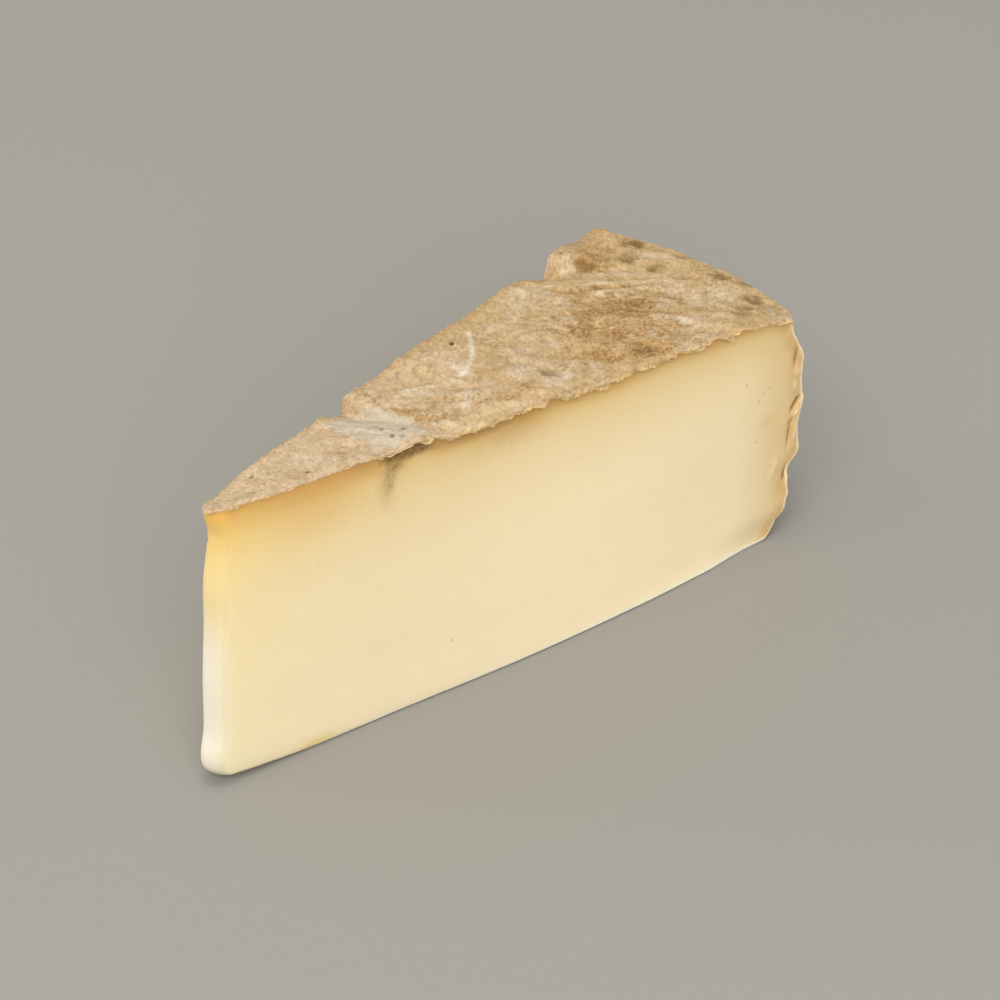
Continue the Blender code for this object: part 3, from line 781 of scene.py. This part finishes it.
def undersideFaces(runCount, acrossCount, levelCount, step):
    # The flat underside in wider cells: strips along the wedge, whose end cells take in every
    # lattice point of the tip and of the side between their corners
    def number(run, across):
        return (run * acrossCount + across) * levelCount

    cells = []
    near = np.arange(1, runCount - 2)
    far = near + 1
    for start in range(0, acrossCount - 1, step):
        end = min(start + step, acrossCount - 1)
        corners = [number(near, start), number(near, end), number(far, end), number(far, start)]
        cells += np.stack(corners, -1).tolist()
        between = np.arange(start, end + 1)
        cells.append(number(0, between).tolist() + [number(1, end), number(1, start)])
        last = number(runCount - 1, between[::-1]).tolist()
        cells.append(last + [number(runCount - 2, start), number(runCount - 2, end)])
    return cells


def wedgeSurface(run, across, wallShare, edgeShare):
    # Carries lattice points to the wedge. The plan runs straight from the tip's arc to the side's arc,
    # and slides in along the cuts where the side's ledges and dents lie deeper than its even form.
    # The height is a share of the rind's height there, lumps roughen the rind's rim,
    # and the outer skin takes each face's relief.
    noseX, noseY = nosePlan(across)
    sideX, sideY = sidePlan(across)
    planX, planY = (1 - run) * noseX + run * sideX, (1 - run) * noseY + run * sideY
    rim = smoothStep(rindGrain["rimFrom"], 1.0, np.maximum(np.abs(across), run))
    fading = 1.0 - np.where(across < 0, rindGrain["calmFront"], rindGrain["calmRear"]) * rim
    smoothTop = rindTop(planX, planY)
    topX = (1 - run) * (noseX + noseSetBack(smoothTop)) + run * (sideX - sideSetBack(smoothTop, across))
    relief = rindRelief(topX, planY)
    crumbs = layered(topX, planY, rindGrain["crumbs"])
    top = smoothTop + relief * fading + edgeRises(topX, planY) + crumbs * rim
    path = np.sign(across) * topX + across * noseArc
    thickness = edgeThickness(path, topX)
    onEdge = edgeShare >= 0
    edgeDepth = np.where(onEdge, edgeShare, 0.0) * thickness
    wallHeight = wallShare * (top - thickness - rindEdge["ledge"])
    height = np.where(onEdge, top - edgeDepth, wallHeight)
    nick = wedge["nickDepth"] * hill(height, *wedge["nickUp"]) * hill(across, *wedge["nickAcross"])
    noseX = noseX + noseSetBack(height) + nick
    rounding = sideRelief(across, height)
    setBack = sideSetBack(height, across) - rounding
    sideX = sideX - setBack
    toSide = (1 - run) * (sideX - noseX)
    slide = (setBack - evenSetBack(height, across)) * math.tan(wedge["halfAngle"]) * across
    x, y = (1 - run) * noseX + run * sideX, (1 - run) * noseY + run * (sideY - slide)
    skin = np.maximum(np.abs(across), 1 - np.clip(x, 0, None) / (2 * wedge["noseRadius"])) ** 8
    proud = np.where(onEdge, edgeReach(path, x, np.clip(edgeShare, 0, 1)), 0.0)
    proud = proud * (1 - rindEdge["endsBy"] * smoothStep(*rindEdge["ends"], x))
    cutOut = cutRelief(x, height, across, toSide) * smoothStep(0.0, wedge["cutReliefFull"], x)
    out = skin * (proud + cutOut)
    sweep = across * noseSweep
    curl = np.clip(1 - np.clip(x, 0, None) / wedge["footLiftLength"], 0, None) ** 2
    lift = wedge["footLift"] * curl * (1 - height / top) ** 2
    points = np.stack([x - out * np.cos(sweep), y + out * np.sin(sweep), height + lift], -1)
    return points, {
        "topX": topX, "topY": planY, "relief": relief, "sideRelief": rounding, "path": path, "top": top,
        "height": height, "lip": smoothTop - evenThickness(topX), "thickness": thickness,
        "toSide": toSide, "onEdge": onEdge, "across": across, "run": run,
    }


# Colours of the paste, as they look on the photographed cuts
pasteTones = {
    # millimetres below the rind edge, colour in the body of the wedge
    "body": ((0.0, (196, 154, 92)), (1.6, (209, 169, 107)), (3.6, (219, 186, 122)), (6.0, (227, 198, 141)),
             (9.0, (231, 205, 153)), (15.0, (235, 212, 164)), (23.0, (238, 217, 174)),
             (34.0, (239, 221, 182)), (70.0, (238, 222, 187))),
    # the same at the tip
    "tip": ((0.0, (216, 168, 88)), (2.5, (231, 186, 98)), (7.0, (243, 206, 122)), (14.0, (244, 217, 145)),
            (22.0, (245, 222, 162)), (34.0, (246, 226, 174)), (60.0, (244, 227, 183)),
            (80.0, (241, 228, 188))),
    "deepest": 80.0,
    "amber": (214, 165, 92),        # warm patch under the rind behind the tip
    # cream: painted light, a pale glow on the thinnest stretch of the tip; also the painted highlight along
    # the foot
    "cream": (247, 240, 222),       # the thinnest stretch of the tip
    "stain": (118, 88, 48),
    # underLip: painted shade under the rind's overhanging edge
    "underLip": (172, 127, 66),     # shade under the rind's edge in the middle of the wedge
    "goldSpot": (233, 204, 128),
    "sideTan": (219, 190, 136),     # towards the wheel's side
    "section": (203, 168, 111),     # rind seen in section
    "sectionPink": (219, 185, 142),
    # rim: painted highlight along the section's outermost edge and on its lumps
    "rim": (240, 222, 182),         # the section's outermost edge
    # the specks' and crack's dark tone, also painted shade in the section's dents
    "crackAndDentShade": (150, 108, 52),
    "brightness": 0.905,
    # stored value, tone and strength of each layer over the rows of colours, and of those on the section
    "broadLayers": (("amber", "amber", 1.0), ("underLip", "underLip", 0.72), ("cream", "cream", 1.0),
                    ("goldSpot", "goldSpot", 1.0), ("nearSide", "sideTan", 0.9)),
    # painted highlights along the section's outer edge and along the cut's foot
    "rimLayers": (("rim", "rim", 0.8), ("footRim", "cream", 1.0)),
}

# Where the paste changes, in millimetres. A pair is where a change starts and ends, or a hill's centre
# and reach; of three, the first is the share that is left before the start.
pasteForm = {
    "wander": ((1.7, 1.9, 0.9, 81),),                       # raggedness of the marks' borders
    "evenBelow": (1.0, 9.0), "evenBeyond": (4.0, 30.0),     # where the rear cut's bands leave its uneven rim
    "deepens": (50.0, 120.0), "deepensBy": 0.3, "tipReach": 24.0,
    # the hill behind the tip, and how much of it goes from where to where below the rind
    "amber": 0.75, "amberAt": (30.0, 16.0), "amberLoses": ((0.0, 9.0, 0.42), (9.0, 24.0, 0.33)),
    "amberMiddle": 0.7, "amberMiddleAt": (94.0, 5.0), "amberMiddleFades": (0.5, 6.5),
    # place along, reach, place up, reach, strength
    "amberSpots": ((180.6, 4.0, 40.4, 2.4, 0.42), (186.0, 3.0, 20.0, 5.0, 0.25)),
    # painted shade under the rind's edge: place along, reach, where it fades out below the rind, strength,
    # share of the wander
    "lipShades": ((83.0, 19.0, 0.6, 5.4, 1.0, 0.0), (91.0, 12.0, 4.0, 13.0, 0.5, 1.0),
                  (43.5, 6.0, 1.0, 7.0, 0.4, 0.0)),
    # palest and the cream's fades: painted light on the thinnest stretch of the tip
    "palest": 3.6, "creamFades": (2.0, 18.5), "creamUp": (35.0, 58.0), "creamFoot": (0.55, 2.0, 9.0),
    # footRim: painted highlight along the cut's foot
    "goldAt": (28.5, 5.5), "goldUp": (0.5, 5.5), "footRim": (0.4, 1.4), "nearSide": (166.0, 190.0),
    "tanFrom": 0.35, "rimFrom": 0.5, "mostLump": 1.5,
}

# The dark stain under the groove: a band below the rind, a foot under it, a slanting tongue and a fleck
stain = {
    "starts": (46.5, 51.0), "ends": (61.0, 66.5), "bandFades": (1.6, 4.4),
    "foot": 0.75, "footAt": (53.3, 2.4), "footFades": (3.5, 8.5),
    "tongue": 0.55, "tongueAt": 51.9, "tongueSlant": 0.09, "tongueWander": 0.5, "tongueReach": 2.4,
    "tongueFades": (5.0, 20.0),
    "fleck": 0.35, "fleckAt": (51.8, 1.1), "fleckBelow": (9.6, 0.8),
}

# Painted light and shade on the tip: how its colour makes up for the lamps' light, by degrees round the tip,
# from 80 in front to -80 behind; body is a faint painted light along the wedge
tipLight = {
    "degrees": 80.0, "noseEnds": (56.0, 86.0), "nose": 0.13,
    "underRind": 0.14, "underRindFades": (3.0, 12.0), "foot": 0.11, "footFades": (4.0, 13.0),
    # up to which degrees a change counts in full, from which it's gone, and the change; the largest is
    # painted highlight
    "turns": ((15.0, 50.0, -0.06), (-60.0, -18.0, 0.26), (-30.0, 12.0, 0.05)),
    "behindEnds": (4.0, 44.0), "body": 0.03, "bodyFrom": (60.0, 120.0),
}

# Specks and a crack on the front cut: place along and up, half length, half width, turn, strength
pasteFlecks = (
    (169.9, 56.8, 0.55, 0.45, 0, 0.55), (175.7, 36.0, 0.8, 0.4, 30, 0.45), (70.7, 15.9, 0.5, 0.5, 0, 0.5),
    (178.4, 52.7, 1.3, 0.25, 38, 0.5), (176.6, 51.4, 1.2, 0.25, 45, 0.55),
    (175.3, 49.5, 1.2, 0.22, 72, 0.45), (177.0, 45.0, 0.9, 0.3, 20, 0.35),
    (113.0, 51.5, 0.5, 0.4, 0, 0.25), (30.0, 56.0, 0.5, 0.45, 0, 0.2),
)

# How the paste's material is made. A noise is its size in metres, its detail and its roughness.
# A change is from where to where, and what it becomes there.
pasteLook = {
    "sectionNoise": (0.006,), "pinks": (0.42, 0.70), "section": 0.68,
    # dents and lumps: painted shade in the section's dents and painted highlight on its lumps
    "dents": (-0.1, -0.85, 0.0, 0.95), "lumps": (0.1, 0.5, 0.0, 0.7),
    "stainNoise": (0.0009,), "stainSpecks": (0.36, 0.62, 0.68, 1.0), "fleckDepth": 6.0,
    "mottles": (((0.0011, 3.0, 0.6), (0.35, 0.65, 0.0, 0.4), (0.96, 0.95, 0.93)),
                ((0.011, 3.0), (0.35, 0.65, 0.0, 0.5), (0.99, 0.98, 0.96))),
    "roughness": 0.5, "specular": 0.3,
    "subsurface": 0.35, "subsurfaceRadius": (1.0, 0.75, 0.45), "subsurfaceScale": 0.004,
    "grainNoise": (0.0007, 3.0, 0.6), "grainHeight": 0.00005,
}

# Colours of the rind
rindTones = {
    "tan": (208, 177, 130), "pinkish": (220, 194, 160), "umber": (160, 121, 75), "ochre": (190, 152, 98),
    # hole: the specks' dark tone, partly painted shade inside the holes
    "chalk": (212, 196, 170), "white": (246, 234, 216), "bloom": (226, 207, 180), "hole": (78, 54, 32),
    "crest": (231, 199, 147), "hollow": (142, 112, 67), "olive": (184, 152, 101),
    # edge: partly the torn edge's own pale tone, partly painted light, as it stands upright and gets less
    # light than the top
    "edge": (254, 217, 157),        # the torn edge, which stands upright and gets less light than the top
    "brightness": 0.665,
    # what the fine and the middle grain multiply the colour by, from their hollows to their crests
    # partly the grain's own tone, partly painted shade in its hollows and painted highlight on its crests
    "fineGrainAndShade": ((0.34, (0.72, 0.68, 0.60)), (0.50, (1.0, 1.0, 1.0)), (0.64, (1.16, 1.16, 1.17))),
    "middleGrainAndShade": ((0.34, (0.85, 0.82, 0.75)), (0.50, (1.0, 1.0, 1.0)), (0.66, (1.07, 1.08, 1.11))),
    # stored value, tone and strength of each layer: over the browns, then over the pale heights,
    # over the middle grain and over the fine grain
    "dullLayers": (("cornerOchre", "ochre", 0.45), ("hollow", "hollow", 1.0)),
    "paleLayers": (("bloom", "bloom", 0.85), ("crest", "crest", 1.0), ("tornEdge", "edge", 0.85)),
    "chalkLayers": (("chalk", "chalk", 1.0), ("whiteLine", "white", 0.9)),
    # the hole layer is partly painted shade inside the holes
    "lastLayers": (("chalk", "chalk", 0.45), ("hole", "hole", 1.0)),
}

# Where the rind changes, in millimetres; pairs and threes as for the paste
rindChanges = {
    "topEnds": (1.5, 5.0),          # how far down the wheel's side the top's marks fade out
    "sideBrown": 0.4, "sideBrowns": ((15.0, 8.0, 0.45, 91), (6.0, 3.6, 0.2, 92)),
    "sidePale": 0.8, "sidePales": ((8.0, 5.0, 1.0, 93),), "sidePaleFrom": (0.25, 0.75),
    "lineShare": 0.85, "lineGaps": ((2.1, 2.1, 0.5, 94),), "mostRelief": 1.2,
    "tipPinkEnds": (55.0, 105.0), "rearRim": (0.90, 1.0), "sideRim": (188.0, 194.0),
    "cornerFrom": (0.0, 5.0), "cornerEnds": (3.0, 14.0), "cornerAlong": (120.0, 150.0),
    "tornFrom": (0.08, 0.5), "tornFull": (0.55, 46.0, 66.0),
    # the smooth pale ledge above the torn edge: its strength, how far from the cut it lies and its reach
    "crest": 0.6, "crestAt": (1.2, 1.3), "crestStarts": (64.0, 70.0), "crestEnds": (108.0, 120.0),
    "brownRagged": 0.55, "brownSeed": 22, "paleRagged": 0.5, "paleSeed": 23,
}

# How the rind's material is made; noises and changes as for the paste, and how a noise is drawn out
# along the grain, across it and upwards
rindLook = {
    "fine": ((0.0013, 5.0, 0.72), (0.70, 1.1, 0.9)), "middle": ((0.0036, 4.0, 0.66), (0.85, 1.2, 1.0)),
    "patches": ((0.0075, 3.0, 0.6), (1.1, 1.1, 1.0)), "cloudNoise": (0.014, 3.0, 0.55),
    "pinks": (0.48, 0.68), "tipPink": 0.8, "olives": (0.50, 0.66, 0.0, 0.4),
    # brownByHeight: partly painted shade, browning the rind where it lies low
    "granules": (0.60, 0.40, 0.55, 1.15), "brownByHeight": -0.22,
    "ochres": (0.0, 0.5, 0.0, 0.9), "umbers": (0.3, 1.1), "edging": (0.35, 0.6, 0.1, 0.65),
    # heights: partly painted highlight, paling the rind where it stands high
    "heights": (0.15, 0.85, 0.0, 0.4), "roughness": 0.9, "specular": 0.15,
    "middleHeight": 0.0005, "fineHeight": 0.00026,
}


def belowRind(along, across, seen):
    # Millimetres below the rind's edge. On the rear cut they are counted, further down, from an even line
    # instead of the rim with its groove and fold.
    below = np.clip(seen["lip"] - seen["height"], 0, None)
    evener = smoothStep(*pasteForm["evenBelow"], below) * smoothStep(*pasteForm["evenBeyond"], along)
    evener = evener * (across > 0)
    evenLip = evenTop(along) - evenThickness(seen["topX"])
    return np.clip(below + evener * (evenLip - seen["lip"]), 0, None)


def stainShare(along, below, wander):
    # The strongest of band, foot, and tongue with fleck; each a hill or a stretch along that fades downwards
    ragged = below + wander
    band = smoothStep(*stain["starts"], along) * fade(*stain["ends"], along)
    band = band * fade(*stain["bandFades"], ragged)
    foot = stain["foot"] * hill(along, *stain["footAt"]) * fade(*stain["footFades"], ragged)
    line = stain["tongueAt"] - stain["tongueSlant"] * below + stain["tongueWander"] * wander
    tongue = stain["tongue"] * hill(along, line, stain["tongueReach"]) * fade(*stain["tongueFades"], below)
    fleck = stain["fleck"] * hill(along, *stain["fleckAt"]) * hill(below, *stain["fleckBelow"])
    return np.clip(np.maximum(np.maximum(band, foot), tongue + fleck), 0, 1)


def amberShare(along, up, below, front):
    # Behind the tip a hill along that loses strength downwards; elsewhere the middle's hill and the spots
    strength = pasteForm["amber"]
    for start, end, loss in pasteForm["amberLoses"]:
        strength = strength - loss * smoothStep(start, end, below)
    others = pasteForm["amberMiddle"] * hill(along, *pasteForm["amberMiddleAt"])
    others = others * fade(*pasteForm["amberMiddleFades"], below)
    for at, reach, height, spread, share in pasteForm["amberSpots"]:
        others = others + share * front * hill(along, at, reach) * hill(up, height, spread)
    return np.maximum(hill(along, *pasteForm["amberAt"]) * strength, others)


def lipShade(along, below, wander):
    # Painted shade under the rind's edge: the strongest of some hills along the cut that fade downwards from
    # the rind
    total = np.zeros_like(along)
    for at, reach, start, end, strength, ragged in pasteForm["lipShades"]:
        share = strength * hill(along, at, reach) * fade(start, end, below + ragged * wander)
        total = np.maximum(total, share)
    return total


def tipShade(facing, below, up):
    # Painted light and shade on the tip. What the colour is multiplied by for the way it faces: 1, less the
    # nose's
    # painted shade, which is weaker under the rind and stronger at the foot, plus what each turn adds
    nose = tipLight["nose"] - tipLight["underRind"] * fade(*tipLight["underRindFades"], below)
    nose = nose + tipLight["foot"] * fade(*tipLight["footFades"], up)
    shade = 1 - fade(*tipLight["noseEnds"], facing) * nose
    for start, end, change in tipLight["turns"]:
        shade = shade + change * fade(start, end, facing)
    return shade


def pasteValues(points, seen):
    # One number a vertex for each thing that changes the paste's colour, from 0 to 1; belowRind is in
    # millimetres, cutLump from -1.5 to 1.5, and shade around 1
    # cutLump also paints shade in dents and light on lumps; shade is painted light and shade
    along, across, up = points.T
    front = np.where(across < 0, 1.0, 0.0)
    below = belowRind(along, across, seen)
    wander = layered(along, up, pasteForm["wander"])
    # painted light: a pale glow on the thinnest stretch of the tip
    fromPalest = np.abs(pasteForm["palest"] - seen["path"])
    cream = fade(*pasteForm["creamFades"], fromPalest) * fade(*pasteForm["creamUp"], up)
    # painted light and shade round the tip, by which way it faces
    degrees = tipLight["degrees"]
    onCuts = np.where(seen["across"] > 0, -degrees, degrees)
    facing = np.where(seen["run"] == 0, -degrees * seen["across"], onCuts)
    behind = smoothStep(*tipLight["behindEnds"], along) * (across > 0)
    shade = tipShade(facing, below, up) * (1 - behind) + tipShade(degrees, below, up) * behind
    return {
        "belowRind": below * (1 + pasteForm["deepensBy"] * smoothStep(*pasteForm["deepens"], along)),
        "tipShare": np.exp(-np.clip(along, 0, None) / pasteForm["tipReach"]),
        "amber": amberShare(along, up, below, front),
        "underLip": front * lipShade(along, below, wander),
        "cream": cream * upTo(*pasteForm["creamFoot"], up),
        "shade": shade + tipLight["body"] * smoothStep(*tipLight["bodyFrom"], along),
        # painted highlight along the cut's foot
        "footRim": fade(*pasteForm["footRim"], up),
        "stain": stainShare(along, below, wander) * front,
        "goldSpot": hill(along, *pasteForm["goldAt"]) * fade(*pasteForm["goldUp"], up) * front,
        "nearSide": smoothStep(*pasteForm["nearSide"], along),
        "section": fade(sideStrip["tan"] * pasteForm["tanFrom"], sideStrip["tan"], seen["toSide"]),
        # painted highlight along the section's outer edge
        "rim": fade(sideStrip["rim"] * pasteForm["rimFrom"], sideStrip["rim"], seen["toSide"]),
        "cutLump": np.clip(cutMarks(along, up) * front, -pasteForm["mostLump"], pasteForm["mostLump"]),
    }


def whiteLines(along, across):
    # The strongest of the pale lines, each a hill across its line, with worn gaps
    total = np.zeros_like(along)
    for points, width, height, strength in paleLines:
        total = np.maximum(total, strength * hill(lineDistance(along, across, points), 0.0, width))
    worn = rindChanges["lineShare"] + layered(along, across, rindChanges["lineGaps"])
    return total * np.clip(worn, 0.0, 1.0)


def rindValues(points, seen):
    # The same for the rind; rindHeight is in millimetres, and umber may fall a little below 0.
    # The top's marks are found by the place along and across, the side's by the place across and up.
    across, up = points[:, 1], points[:, 2]
    topX, topY, change = seen["topX"], seen["topY"], rindChanges
    onTop = fade(*change["topEnds"], seen["top"] - seen["height"])
    onSide = 1 - onTop
    brown = patchShare(topX, topY, brownPatches, "colour", change["brownRagged"], change["brownSeed"])
    sideBrown = change["sideBrown"] + layered(across, up, change["sideBrowns"])
    pale = patchShare(topX, topY, palePatches, "colour", change["paleRagged"], change["paleSeed"])
    sidePale = smoothStep(*change["sidePaleFrom"], layered(across, up, change["sidePales"]))
    rearRim = smoothStep(*change["rearRim"], np.abs(topY) / cutWidth(topX)) * (topY > 0)
    run, offset = foldPlace(topX, topY)
    corner = smoothStep(*change["cornerFrom"], offset) * fade(*change["cornerEnds"], run)
    depthShare = (seen["top"] - seen["height"]) / seen["thickness"]
    torn = np.where(seen["onEdge"], smoothStep(*change["tornFrom"], depthShare), 0.0)
    crest = smoothStep(*change["crestStarts"], topX) * fade(*change["crestEnds"], topX)
    relief = seen["relief"] * onTop + seen["sideRelief"] * onSide
    return {
        "rindHeight": np.clip(relief, -change["mostRelief"], change["mostRelief"]),
        "hollow": patchShare(topX, topY, rindHollows, "colour") * onTop,
        "hole": patchShare(topX, topY, rindHoles, "colour", markForm["holeRagged"]),
        "umber": brown * onTop + sideBrown * onSide,
        "chalk": chalkShare(topX, topY),
        "whiteLine": whiteLines(topX, topY),
        "bloom": pale * onTop + change["sidePale"] * sidePale * onSide,
        "tipPink": fade(*change["tipPinkEnds"], topX),
        "ochre": np.maximum(rearRim, smoothStep(*change["sideRim"], topX)) * onTop,
        "cornerOchre": corner * smoothStep(*change["cornerAlong"], topX),
        "tornEdge": torn * upTo(*change["tornFull"], topX),
        "crest": change["crest"] * hill(cutWidth(topX) + topY, *change["crestAt"]) * crest,
    }


def pasteMaterial():
    look = pasteLook
    material, tree, shader = newMaterial("cutPaste", look["roughness"], look["specular"])

    def tone(name):
        return screenColour(pasteTones[name], pasteTones["brightness"])

    def noise(values):
        return cloudy(tree, placeOnPiece(tree), *values)

    def byDepth(name):
        # A row of colours from the rind down
        steps = [(depth / pasteTones["deepest"], screenColour(shade, pasteTones["brightness"]))
                 for depth, shade in pasteTones[name]]
        return colourSteps(tree, depthShare, steps)

    depthShare = reckon(tree, "DIVIDE", storedValue(tree, "belowRind"), pasteTones["deepest"])
    colour = mixedColour(tree, storedValue(tree, "tipShare"), byDepth("body"), byDepth("tip"))
    colour = laidOver(tree, colour, pasteTones["broadLayers"], pasteTones)

    # the rind in section
    pinks = rescaled(tree, noise(look["sectionNoise"]), *look["pinks"])
    section = mixedColour(tree, pinks, tone("section"), tone("sectionPink"))
    sectionShare = reckon(tree, "MULTIPLY", storedValue(tree, "section"), look["section"])
    colour = mixedColour(tree, sectionShare, colour, section)
    # painted shade in the section's dents and painted highlight on its lumps, from their relief
    lump = storedValue(tree, "cutLump")
    colour = mixedColour(tree, rescaled(tree, lump, *look["dents"]), colour, tone("crackAndDentShade"))
    colour = mixedColour(tree, rescaled(tree, lump, *look["lumps"]), colour, tone("rim"))
    # painted highlights along the section's outer edge and along the cut's foot
    colour = laidOver(tree, colour, pasteTones["rimLayers"], pasteTones)

    # the stain, the specks and the mottling
    specks = rescaled(tree, noise(look["stainNoise"]), *look["stainSpecks"])
    stained = reckon(tree, "MULTIPLY", storedValue(tree, "stain"), specks)
    colour = mixedColour(tree, stained, colour, tone("stain"))
    for along, up, halfLength, halfWidth, degrees, strength in pasteFlecks:
        size = tuple(half * millimetre for half in (halfLength, look["fleckDepth"], halfWidth))
        turn = (0.0, -math.radians(degrees), 0.0)
        place = placeOnPiece(tree, turn, size, inFrame((along, -cutWidth(along), up)))
        share = reckon(tree, "MULTIPLY", nearness(tree, place), strength)
        colour = mixedColour(tree, share, colour, tone("crackAndDentShade"))
    for values, change, shade in look["mottles"]:
        share = rescaled(tree, noise(values), *change)
        colour = mixedColour(tree, share, colour, shade + (1.0,), "MULTIPLY")
    # painted light and shade of the tip and the body
    colour = mixedColour(tree, 1.0, colour, storedValue(tree, "shade"), "MULTIPLY")

    putInto(tree, shader.inputs["Base Color"], colour)
    shader.inputs["Subsurface Weight"].default_value = look["subsurface"]
    shader.inputs["Subsurface Radius"].default_value = look["subsurfaceRadius"]
    shader.inputs["Subsurface Scale"].default_value = look["subsurfaceScale"]
    tree.links.new(bumped(tree, noise(look["grainNoise"]), look["grainHeight"]), shader.inputs["Normal"])
    return material


def rindMaterial():
    look = rindLook
    material, tree, shader = newMaterial("agedRind", look["roughness"], look["specular"])

    def tone(name):
        return screenColour(rindTones[name], rindTones["brightness"])

    def grainNoise(name):
        # Noise turned and drawn out along the grain
        values, stretch = look[name]
        return cloudy(tree, placeOnPiece(tree, (0.0, 0.0, rindGrain["turn"]), stretch), *values)

    def grainedAndShaded(under, source, name):
        # The colour multiplied by a row of shades, from the grain's hollows to its crests: partly painted
        # shade and highlight
        shades = colourSteps(tree, source, [(place, shade + (1.0,)) for place, shade in rindTones[name]])
        return mixedColour(tree, 1.0, under, shades, "MULTIPLY")

    fine, middle, patches = grainNoise("fine"), grainNoise("middle"), grainNoise("patches")
    clouds = cloudy(tree, placeOnPiece(tree), *look["cloudNoise"])
    height = storedValue(tree, "rindHeight")

    # tan, pink clouds, olive patches, and browns where the rind lies low, partly painted shade in its hollows
    colour = mixedColour(tree, rescaled(tree, clouds, *look["pinks"]), tone("tan"), tone("pinkish"))
    colour = laidOver(tree, colour, (("tipPink", "pinkish", look["tipPink"]),), rindTones)
    colour = mixedColour(tree, rescaled(tree, patches, *look["olives"]), colour, tone("olive"))
    brown = reckon(tree, "MULTIPLY", storedValue(tree, "umber"), rescaled(tree, fine, *look["granules"]))
    low = reckon(tree, "MULTIPLY", height, look["brownByHeight"])
    brown = reckon(tree, "ADD", brown, low, clamp=True)
    colour = mixedColour(tree, rescaled(tree, brown, *look["ochres"]), colour, tone("ochre"))
    colour = mixedColour(tree, rescaled(tree, brown, *look["umbers"]), colour, tone("umber"))
    edging = reckon(tree, "MULTIPLY", storedValue(tree, "ochre"), rescaled(tree, middle, *look["edging"]))
    colour = mixedColour(tree, edging, colour, tone("ochre"))

    # the marks, the pale heights and the grain; heights, torn edge and grain carry painted light and shade
    colour = laidOver(tree, colour, rindTones["dullLayers"], rindTones)
    # paler where the relief stands high: partly painted highlight
    colour = mixedColour(tree, rescaled(tree, height, *look["heights"]), colour, tone("bloom"))
    colour = laidOver(tree, colour, rindTones["paleLayers"], rindTones)
    colour = grainedAndShaded(colour, middle, "middleGrainAndShade")
    colour = laidOver(tree, colour, rindTones["chalkLayers"], rindTones)
    colour = grainedAndShaded(colour, fine, "fineGrainAndShade")
    colour = laidOver(tree, colour, rindTones["lastLayers"], rindTones)

    putInto(tree, shader.inputs["Base Color"], colour)
    normal = bumped(tree, middle, look["middleHeight"])
    normal = bumped(tree, fine, look["fineHeight"], before=normal)
    tree.links.new(normal, shader.inputs["Normal"])
    return material


def buildWedge():
    run, across, wallShare, edgeShare = stations()
    counts = (len(run), len(across), len(wallShare))
    sheets = blockFaces(*counts)
    quads = np.concatenate(list(sheets.values()))
    under = undersideFaces(*counts, divisions["underCells"])
    numbers = np.unique(np.concatenate([quads.ravel()] + under))
    placeOf = np.zeros(math.prod(counts), int)
    placeOf[numbers] = np.arange(len(numbers))
    faces = placeOf[quads].tolist() + [placeOf[cell].tolist() for cell in under]

    runIndex, acrossIndex, level = np.unravel_index(numbers, counts)
    points, seen = wedgeSurface(run[runIndex], across[acrossIndex], wallShare[level], edgeShare[level])
    print("wedge worked out:", len(numbers), "points")

    mesh = bpy.data.meshes.new("cheeseWedge")
    mesh.from_pydata(inFrame(points).tolist(), [], faces)
    for name, values in {**pasteValues(points, seen), **rindValues(points, seen)}.items():
        layer = mesh.attributes.new(name, "FLOAT", "POINT")
        layer.data.foreach_set("value", np.asarray(values, np.float32))

    # rind on the wheel's side and on all that lies above the wall: the torn edge and the top
    wallLevels = len(edgeShare) - len(divisions["edge"])
    isRind = [(sheet % counts[2]).min(1) >= (0 if name == "side" else wallLevels)
              for name, sheet in sheets.items()]
    isRind = np.concatenate(isRind + [np.zeros(len(under), bool)])
    mesh.materials.append(pasteMaterial())
    mesh.materials.append(rindMaterial())
    mesh.polygons.foreach_set("material_index", isRind.astype(int))
    mesh.shade_smooth()
    mesh.set_sharp_from_angle(angle=divisions["sharpFrom"])
    mesh.update()
    piece = bpy.data.objects.new("cheeseWedge", mesh)
    bpy.context.scene.collection.objects.link(piece)
    print("wedge built:", sum(len(face) - 2 for face in faces), "triangles")
    return piece


cheeseWedge = buildWedge()
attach(cheeseWedge, "root")
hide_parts("cheese_wedge")
print("wedge dressed")
